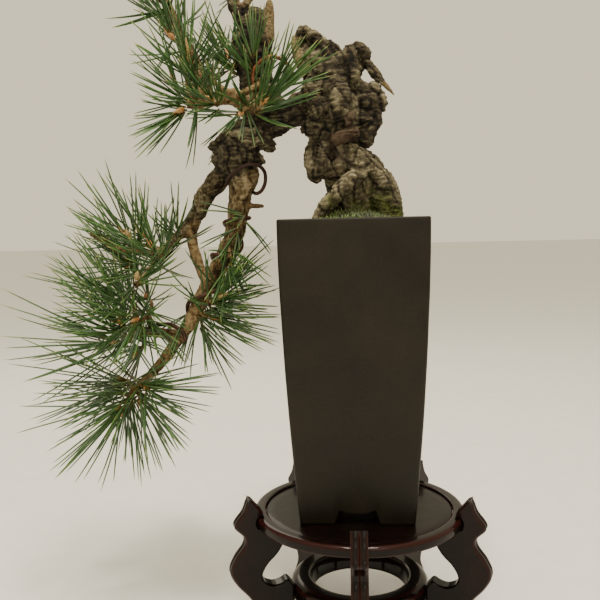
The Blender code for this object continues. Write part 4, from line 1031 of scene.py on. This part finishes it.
def blurred(values, quads, rounds):
    """Each point's value averaged with those along its faces' edges, some times over."""
    a, b = quads.ravel(), np.roll(quads, -1, axis=1).ravel()
    count = np.bincount(a, minlength=len(values)) + np.bincount(b, minlength=len(values)) + 1
    for _ in range(rounds):
        total = values + np.bincount(a, values[b], len(values)) + np.bincount(b, values[a], len(values))
        values = total / count
    return values


def bark_relief(points, normals, radius):
    """How far the bark stands out, and its marks.

    Large plates are cells 12 mm wide and 19 mm tall in space that noise has bent; each plate has its own
    height, and sinks to a crack where the second nearest seed is almost as near as the first. Smaller
    plates lie on the large ones, and shingles are the sawtooth of a bent height. All of it fades with the
    limb's thickness."""
    old = eased(radius, 7, 20)
    middle = eased(radius, 3.0, 9)
    bent = points + 5.0 * np.stack([clouds(points / 17, salt, 2) for salt in (1, 2, 3)], axis=1)
    leaning = bent * (1, 1, 0.62) + np.outer(bent[:, 2], (0.25, 0.0, 0.0))
    _, wide_gap, wide_own = cracked(leaning / 16.0, 11)
    _, small_gap, small_own = cracked(leaning / 6.0, 12)
    wide = eased(wide_gap, 0.0, 0.14)
    small = eased(small_gap, 0.0, 0.16)
    lying = 1 - np.abs(clouds(bent * (0.10, 0.10, 0.36), 15, 3)) * 2.2
    standing = 1 - np.abs(clouds(bent * (0.40, 0.40, 0.11), 16, 3)) * 2.2
    ladder = bent[:, 2] / 4.2 + 1.1 * clouds(points / 13, 5, 3)
    shingle = (ladder - np.floor(ladder)) ** 1.5
    lumps = clouds(points / 24, 6, 2)
    ridges = np.where(points[:, 2] > 322, lying, 0.5 * (lying + standing))
    out = old * (
        1.2 * lumps + 1.3 * (wide - 0.85) + 1.2 * (wide_own - 0.5)
        + 0.9 * (ridges - 0.5) + 0.9 * (shingle - 0.4)
    )
    out += old * (0.2 * (small - 0.85) + 0.5 * (small_own - 0.5) * wide)
    out += (1 - old) * middle * (0.7 * (wide - 0.85) + 0.9 * (standing - 0.5) + 0.5 * (small_own - 0.5))
    out += (1 - middle) * (0.35 * (standing - 0.5) + 0.7 * (small_own - 0.5) * small)
    # The plate mark is the bark's tone: low in the cracks and high on raised plates, ridges and shingles, so
    # it holds the plates' own weathered grey and also painted shade in the hollows
    plate = 0.06 + 0.26 * wide + 0.06 * small + 0.34 * ridges + 0.24 * (wide_own - 0.5) + 0.18 * shingle
    plate += (1 - old) * (0.08 + 0.2 * (standing - 0.5))
    # Faces turned up are made lighter: painted light from above
    plate += 0.12 * normals[:, 2]
    fresh = old * eased(scrambled_patch(points), 0.62, 0.8) * wide * 0.8
    return out, plate, fresh


def scrambled_patch(points):
    """A few hand-sized patches, as noise from 0 to 1."""
    return 0.5 + 0.5 * clouds(points / 15, 44, 2)


def wire_routes():
    """Each wire's name, route, radius and brightness. The wound one touches the cascading branch's bark."""
    rows = flowing(BRANCHES["cascade"], 3.0)
    lengths = np.concatenate([[0], np.cumsum(np.linalg.norm(np.diff(rows[:, :3], axis=0), axis=1))])
    shares, degrees = np.array(WOUND_STATIONS, float).T
    angles = np.arange(degrees[0], degrees[-1], 12.0)
    places = np.interp(angles, degrees, shares) * lengths[-1]
    rows = np.stack([np.interp(places, lengths, rows[:, k]) for k in range(4)], axis=1)
    tangents = unit(np.gradient(rows[:, :3], axis=0))
    front = unit(np.array((0.0, -1.0, 0.0)) + tangents * tangents[:, 1:2])
    left = np.cross(tangents, front)
    turn = np.radians(angles)[:, None]
    wound = rows[:, :3] + (front * np.cos(turn) + left * np.sin(turn)) * (rows[:, 3:] + WOUND_RADIUS + 0.2)
    wires = [("wire_cascade", wound, WOUND_RADIUS, 0.15)]
    for name, (radius, bright, points) in LOOSE_WIRES.items():
        wires.append((name, flowing(points, 1.5), radius, bright))
    return wires


def make_wires(copper):
    for name, route, radius, bright in wire_routes():
        points, faces = round_ended_tube(route, np.full(len(route), radius), 16)
        marks = {"bright": np.full(len(points), bright)}
        piece(f"training_{name}", points, faces, [copper], [name], marks)


def make_wood(bark, limbs):
    """The tree's wood as one skin. Returns its points, normals and moss for the moss that grows on it."""
    shapes = [limb(route, sides=20 if max(row[3] for row in route) > 12 else 12) for route, *_ in limbs]
    points, normals, quads = melted(shapes, SKIN_GRAIN, 1)
    starts, ends, radii, counts = segments(limbs)
    index, _ = nearest_of(points, starts, ends, radii)
    of_limb = np.repeat(np.arange(len(limbs)), counts)[index]
    own_age = np.array([np.nan if age is None else age for _, _, age, _ in limbs])[of_limb]
    radius = blurred(np.where(np.isnan(own_age), radii[index], own_age), quads, 10)
    bare = blurred(np.array([row[1] for row in limbs])[of_limb], quads, 2)
    red = blurred(np.array([row[3] for row in limbs])[of_limb], quads, 8)
    out, plate, fresh = bark_relief(points, normals, radius)
    fresh = np.maximum(0.3 * fresh, red * (0.2 + 0.6 * plate))
    plate = plate + 0.10 * eased(330 - points[:, 2], 0, 25) * (np.abs(points[:, 0]) < 60)
    out = out * (1 - 0.75 * bare)
    wires = wire_routes()
    _, gap = nearest_of(
        points, np.vstack([r[:-1] for _, r, _, _ in wires]), np.vstack([r[1:] for _, r, _, _ in wires]),
        np.concatenate([np.full(len(r) - 1, w) for _, r, w, _ in wires]),
    )
    out = np.minimum(out, np.maximum(gap - 0.3, -2.0))
    low = eased(300 - points[:, 2], 0, 45) * (np.abs(points[:, 0]) < 60)
    patches = 0.5 + 0.5 * clouds(points / 13, 21, 3)
    upward = eased(normals[:, 2] + 0.6 * (patches - 0.5), -0.1, 0.6)
    right = eased(points[:, 0] + 0.6 * (points[:, 2] - 300), -22, 30) * (points[:, 2] < 322)
    moss = np.clip(
        eased(patches + 0.30 * low + 0.15 * right * low, 0.66, 0.86) * (0.35 + 0.65 * upward), 0, 1,
    )
    moss = np.maximum(moss * low, 0.45 * eased(patches, 0.72, 0.86) * eased(radius, 8, 16))
    marks = {
        "plate": plate, "fresh": fresh, "moss": moss, "bare": bare, "young": 1 - eased(radius, 5.0, 13.0),
    }
    points = points + normals * out[:, None]
    piece("pine_wood", points, [quads], [bark], ["tree_wood"], marks)
    return points, normals, moss


# --- Needles and buds ---


def needle_fan(base, direction, reach, pairs, spread):
    """Points, faces and marks of a shoot's needles.

    A pair leaves the shoot at some place along its last stretch, the farther back the wider. A needle's
    middle line is root + length (heading t + 0.09 bend t^2), its three corners stand off it by a radius that
    swells from the sheath and runs out to a point, and both needles of a pair lean apart."""
    one = unit(np.cross(direction, (0.3, 0.5, 0.81)))
    two = np.cross(direction, one)
    back = rng.uniform(0, 1, pairs)
    turn = rng.uniform(0, 2 * math.pi, pairs)
    lean = np.radians(spread * (0.2 + 0.8 * back**0.7) + rng.normal(0, 8, pairs))
    ring = one * np.cos(turn)[:, None] + two * np.sin(turn)[:, None]
    heading = direction * np.cos(lean)[:, None] + ring * np.sin(lean)[:, None]
    root = np.array(base, float) + direction * (12 - 24 * back)[:, None] + ring * 1.2
    apart = unit(np.cross(heading, rng.normal(size=(pairs, 3))))
    parting = np.radians(rng.uniform(2, 8, pairs))[:, None]
    heading = unit(np.concatenate([heading + apart * parting, heading - apart * parting]))
    root, back = np.tile(root, (2, 1)), np.tile(back, 2)
    length = reach * rng.uniform(0.70, 1.0, pairs)
    length = np.tile(length, 2) * rng.uniform(0.96, 1.0, 2 * pairs)
    turned_to_tip = direction - heading * (heading @ direction)[:, None]
    bend = turned_to_tip + rng.normal(0, 0.35, (2 * pairs, 3)) + (0, 0, 0.25)
    t = np.array([0, 0.08, 0.3, 0.52, 0.74, 0.92, 1.0])
    thick = np.array([0.75, 0.80, 0.85, 0.85, 0.78, 0.52, 0.08])
    shape = heading[:, None] * t[:, None] + 0.09 * bend[:, None] * (t**2)[:, None]
    line = root[:, None] + length[:, None, None] * shape
    side = unit(np.cross(heading, direction + 1e-3))
    other = np.cross(heading, side)
    corner = np.arange(3) * 2 * math.pi / 3
    square = side[:, None] * np.cos(corner)[:, None] + other[:, None] * np.sin(corner)[:, None]
    return line, line[:, :, None] + square[:, None] * thick[:, None, None], t


def clear_of_all(line, starts, ends, radii):
    """True for each needle whose outer part meets neither the pot, the stand nor the wood."""
    probe = line[:, 1:]
    flat = np.abs(probe[..., :2]).max(axis=2)
    height = probe[..., 2]
    in_pot = (flat < pot_half(height) + POT_ROOM) & (height < POT_HEIGHT + 1) & (height > 0)
    from_axis = np.linalg.norm(probe[..., :2] - STAND[:2], axis=2)
    on_stand = (from_axis < STAND_ROOM_RADIUS) & (height < STAND_ROOM_TOP)
    outer = line[:, 3:].reshape(-1, 3)
    _, gap = nearest_of(outer, starts, ends, radii)
    in_wood = (gap < WOOD_ROOM).reshape(len(line), -1)
    return ~(in_pot.any(axis=1) | on_stand.any(axis=1) | in_wood.any(axis=1))


def bud(base, direction, length, width):
    """A pointed bud: its radius follows the sine of a stretched height, and overlapping scales stand out of
    it as the sawtooth of height and half the angle."""
    one = unit(np.cross(direction, (0.3, 0.5, 0.81)))
    two = np.cross(direction, one)
    rows, sides = 15, 14
    t = np.linspace(0.015, 0.985, rows)
    angle = np.arange(sides) * 2 * math.pi / sides
    spiral = t[:, None] * 6.0 + angle / math.pi
    scale = spiral - np.floor(spiral)
    radius = width * np.sin(math.pi * t**0.72)[:, None] ** 0.8 * (0.86 + 0.24 * scale)
    ring = one * np.cos(angle)[:, None] + two * np.sin(angle)[:, None]
    points = np.array(base, float) + direction * (length * t)[:, None, None] + ring * radius[..., None]
    caps = np.array([np.arange(sides)[::-1], np.arange(sides) + (rows - 1) * sides])
    shade = 0.25 + 0.75 * scale * (0.5 + 0.5 * t[:, None])
    return points.reshape(-1, 3), [woven(rows, sides), caps], shade.ravel()


def make_shoots(needle, bud_skin, starts, ends, radii):
    for name, (base, aim, reach, pairs, (buds, bud_length, paleness)) in SHOOTS.items():
        direction = shoot_direction(aim)
        fans = [needle_fan(base, direction, reach, pairs, SPREADS.get(name, 74))]
        for start, way, *rest in SIDE_SHOOTS.get(name, ()):
            fans.append(needle_fan(start, shoot_direction(way), *rest))
        line, points = (np.concatenate([fan[k] for fan in fans]) for k in (0, 1))
        t = fans[0][2]
        tips = line[:, -1]
        low_limit = np.array(cad_low) * 1000 - SEAT - TIP_ROOM
        high_limit = np.array(cad_high) * 1000 - SEAT + TIP_ROOM
        inside = ((tips > low_limit) & (tips < high_limit)).all(axis=1)
        keep = clear_of_all(line, starts, ends, radii) & inside
        points = points[keep]
        count, rows = points.shape[:2]
        cross = woven(rows, 3)
        offset = (np.arange(count) * rows * 3)[:, None, None]
        quads = (cross[None] + offset).reshape(-1, 4)
        caps = np.stack([
            np.array([2, 1, 0]) + np.zeros((count, 1), int),
            np.array([0, 1, 2]) + (rows - 1) * 3 + np.zeros((count, 1), int),
        ], axis=1) + offset
        shapes = [(points.reshape(-1, 3), [quads, caps.reshape(-1, 3)])]
        along = [np.tile(np.repeat(t, 3), count)]
        tone = np.clip(rng.normal(0.32, 0.24, count), 0, 1)
        tint = [np.repeat(tone, rows * 3)]
        faces_before = len(quads) + 2 * count
        for index in range(buds):
            lean, size = direction, bud_length
            if index > 0:
                lean = unit(direction + 0.75 * unit(np.cross(direction, rng.normal(size=3))))
                size = bud_length * 0.72
            bud_points, bud_faces, shade = bud(
                np.array(base) + direction * 3.5, lean, size + 3, 2.3 if bud_length < 15 else 2.0,
            )
            shapes.append((bud_points, bud_faces))
            along.append(shade)
            tint.append(np.full(len(shade), paleness))
        all_points, all_faces = joined(shapes)
        sizes = sum(len(group) for group in all_faces)
        finish_of = np.concatenate([np.zeros(faces_before), np.ones(sizes - faces_before)])
        marks = {"along": np.concatenate(along), "tint": np.concatenate(tint)}
        finishes = [needle, bud_skin]
        piece(
            f"shoot_{name}", all_points, all_faces, finishes, [f"needles_{name}"], marks,
            finish_of,
        )


# --- Moss ---


def moss_height(x, y):
    """The mound's top: a dome of cosines that falls to the walls, with soft cushions of noise on it."""
    half = pot_half(248) - POT_WALL - 0.8
    dome = np.cos(np.clip(x / half, -1, 1) * math.pi / 2) * np.cos(np.clip(y / half, -1, 1) * math.pi / 2)
    flat = np.column_stack([x.ravel(), y.ravel(), np.zeros(x.size)])
    cushions = (1.5 * clouds(flat / 11, 51, 2) + 0.7 * clouds(flat / 4, 52, 2)).reshape(x.shape)
    return 251.6 + 14.5 * dome + cushions * (0.4 + 0.9 * dome)


def make_moss(moss_skin, wood_points, wood_normals, wood_moss):
    count = 120
    half = pot_half(248) - POT_WALL - 0.5
    axis = np.linspace(-half, half, count)
    x, y = np.meshgrid(axis, axis, indexing="ij")
    inset = 1 - 0.03 * np.abs(x * y / half**2) ** 20
    x, y = x * inset, y * inset
    top = np.column_stack([x.ravel(), y.ravel(), moss_height(x, y).ravel()])
    bottom = top * (1, 1, 0) + (0, 0, 248.3)
    grid = np.arange(count * count).reshape(count, count)
    quads = np.stack([grid[:-1, :-1], grid[1:, :-1], grid[1:, 1:], grid[:-1, 1:]], axis=-1).reshape(-1, 4)
    border = np.concatenate([grid[:-1, 0], grid[-1, :-1], grid[:0:-1, -1], grid[0, :0:-1]])
    skirt = np.stack([np.roll(border, -1), border, border + count**2, np.roll(border, -1) + count**2], axis=1)
    mound = (np.vstack([top, bottom]), [quads, quads[:, ::-1] + count**2, skirt])
    # Upright tips over the mound, and shorter ones on the mossy bark
    place = rng.uniform(-half + 1.5, half - 1.5, (MOSS_TIPS, 2))
    near = np.exp(-np.linalg.norm(place - (2, -2), axis=1) / 30)
    roots = np.column_stack([place, moss_height(place[:, 0], place[:, 1]) - 0.6])
    upward = unit(np.column_stack([rng.normal(0, 0.34, (MOSS_TIPS, 2)), np.ones(MOSS_TIPS)]))
    height = rng.uniform(1.6, 3.6, MOSS_TIPS) + 5.5 * near * rng.uniform(0.2, 1, MOSS_TIPS)
    chosen = np.flatnonzero(wood_moss > 0.45)
    chosen = rng.choice(chosen, min(BARK_MOSS_TIPS, len(chosen)), replace=False)
    roots = np.vstack([roots, wood_points[chosen] - wood_normals[chosen] * 0.5])
    on_bark = unit(wood_normals[chosen] + rng.normal(0, 0.35, (len(chosen), 3)) + (0, 0, 0.35))
    upward = np.vstack([upward, on_bark])
    height = np.concatenate([height, rng.uniform(1.2, 3.0, len(chosen))])
    side = unit(np.cross(upward, rng.normal(size=upward.shape)))
    other = np.cross(upward, side)
    corner = np.arange(3) * 2 * math.pi / 3
    ring = side[:, None] * np.cos(corner)[:, None] + other[:, None] * np.sin(corner)[:, None]
    t = np.array([0, 0.55, 1.0])
    width = np.array([0.42, 0.34, 0.03])
    lean = rng.normal(0, 0.18, upward.shape)
    shape = upward[:, None] * t[:, None] + lean[:, None] * (t**2)[:, None]
    middle = roots[:, None] + height[:, None, None] * shape
    tips = middle[:, :, None] + ring[:, None] * width[:, None, None]
    total = len(roots)
    offset = (np.arange(total) * 9)[:, None, None]
    sides = (woven(3, 3)[None] + offset).reshape(-1, 4)
    caps = (np.array([[2, 1, 0], [6, 7, 8]])[None] + offset).reshape(-1, 3)
    points, faces = joined([mound, (tips.reshape(-1, 3), [sides, caps])])
    # The mound is marked low and the tips by how far up they are: this mark carries the moss's painted shade
    # and light
    along = np.concatenate([np.full(2 * count**2, 0.12), np.tile(np.repeat(t, 3), total)])
    piece("moss_carpet", points, faces, [moss_skin], ["moss"], {"along": along})


# --- Camera, light and floor ---

FOCAL = 44.4  # millimetres on a 36 mm sensor
EYE = (0.0, -662.0, 245.6)
PITCH, YAW, ROLL = math.radians(4.89), math.radians(4.21), math.radians(-1.21)


def make_camera():
    data = bpy.data.cameras.new("camera")
    data.lens = FOCAL
    data.sensor_width = 36.0
    camera = placed("camera", data)
    forward = np.array([-math.sin(YAW) * math.cos(PITCH), math.cos(YAW) * math.cos(PITCH), -math.sin(PITCH)])
    right = unit(np.cross(forward, (0.0, 0.0, 1.0)))
    up = np.cross(right, forward)
    across_view = math.cos(ROLL) * right + math.sin(ROLL) * up
    up_view = math.cos(ROLL) * up - math.sin(ROLL) * right
    matrix = np.eye(4)
    matrix[:3, 0], matrix[:3, 1], matrix[:3, 2] = across_view, up_view, -forward
    matrix[:3, 3] = (np.array(EYE) + SEAT) / 1000
    camera.matrix_world = Matrix(matrix.tolist())
    data.clip_start, data.clip_end = 0.01, 50.0
    bpy.context.scene.camera = camera


def soft_light(name, place, size, power, colour, target=(0.0, 0.0, 0.33)):
    data = bpy.data.lights.new(name, "AREA")
    data.shape = "DISK"
    data.size = size
    data.energy = power
    data.color = linear(colour)[:3]
    lamp = placed(name, data)
    lamp.location = place
    forward = unit(np.array(target) - np.array(place))
    right = unit(np.cross(forward, (0.0, 0.01, 1.0)))
    matrix = np.eye(4)
    matrix[:3, 0], matrix[:3, 1], matrix[:3, 2] = right, np.cross(right, forward), -forward
    matrix[:3, 3] = place
    lamp.matrix_world = Matrix(matrix.tolist())


def make_studio():
    world = bpy.data.worlds.new("pale_studio")
    bpy.context.scene.world = world
    world.use_nodes = True
    sky = world.node_tree.nodes["Background"]
    sky.inputs["Color"].default_value = linear("#e2d6b8")
    sky.inputs["Strength"].default_value = 1.35
    mesh = bpy.data.meshes.new("floor")
    reach = 30.0
    mesh.from_pydata(
        [(-reach, -reach, 0), (reach, -reach, 0), (reach, reach, 0), (-reach, reach, 0)], [], [(0, 1, 2, 3)],
    )
    floor = placed("floor", mesh)
    made, tree, shader = finish("pale_floor_cloth", Roughness=0.9)
    place = add(tree, "TexCoord").outputs["Object"]
    cloth = add(tree, "TexNoise", {"Vector": place, "Scale": per_mm(30.0), "Detail": 3.0}).outputs["Fac"]
    colour = add(tree, "ValToRGB", {"Fac": cloth}, stops=[(0.3, "#dfdfdc"), (0.7, "#e4e4e1")]).outputs[0]
    tree.links.new(colour, shader.inputs["Base Color"])
    mesh.materials.append(made)
    soft_light("overhead", (-0.35, -0.25, 1.9), 1.3, 2.0, "#fff6e6")
    soft_light("ceiling_left", (-0.25, -0.9, 2.3), 0.30, 34.0, "#fff2e0")
    soft_light("ceiling_right", (0.45, -0.6, 2.4), 0.30, 34.0, "#fff2e0")
    soft_light("front", (0.7, -1.7, 1.1), 0.9, 5.0, "#fffaf2")
    soft_light("back", (-0.6, 1.5, 1.2), 0.9, 7.0, "#fff4e2")


def main():
    bark, needle, bud_skin, moss_skin = pine_bark(), pine_needle(), pine_bud(), living_moss()
    polished = lacquered_rosewood("rosewood_under_polished_lacquer", 0.26)
    rubbed = lacquered_rosewood("rosewood_under_rubbed_lacquer", 0.12)
    clay, copper = stoneware(), annealed_copper()
    make_camera()
    make_studio()
    make_pot(clay)
    make_stand(polished, rubbed)
    make_wires(copper)
    limbs = all_limbs()
    starts, ends, radii, _ = segments(limbs)
    wood_points, wood_normals, wood_moss = make_wood(bark, limbs)
    make_moss(moss_skin, wood_points, wood_normals, wood_moss)
    make_shoots(needle, bud_skin, starts, ends, radii)
    # The last colour of each granule set is painted shade in the gaps between grains
    kept = {
        "soil": granules("akadama_clay_granules", ("#b58a5c", "#8a5c38", "#3a2414"), 4.0),
        "drainage_gravel": granules("pumice_granules", ("#cfc6b4", "#a99d88", "#5a5246"), 7.0),
        "drain_mesh": moulded_mesh(),
        "drain_mesh_clip": copper,
    }
    for name, skin in kept.items():
        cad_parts[name].data.materials.clear()
        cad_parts[name].data.materials.append(skin)


main()
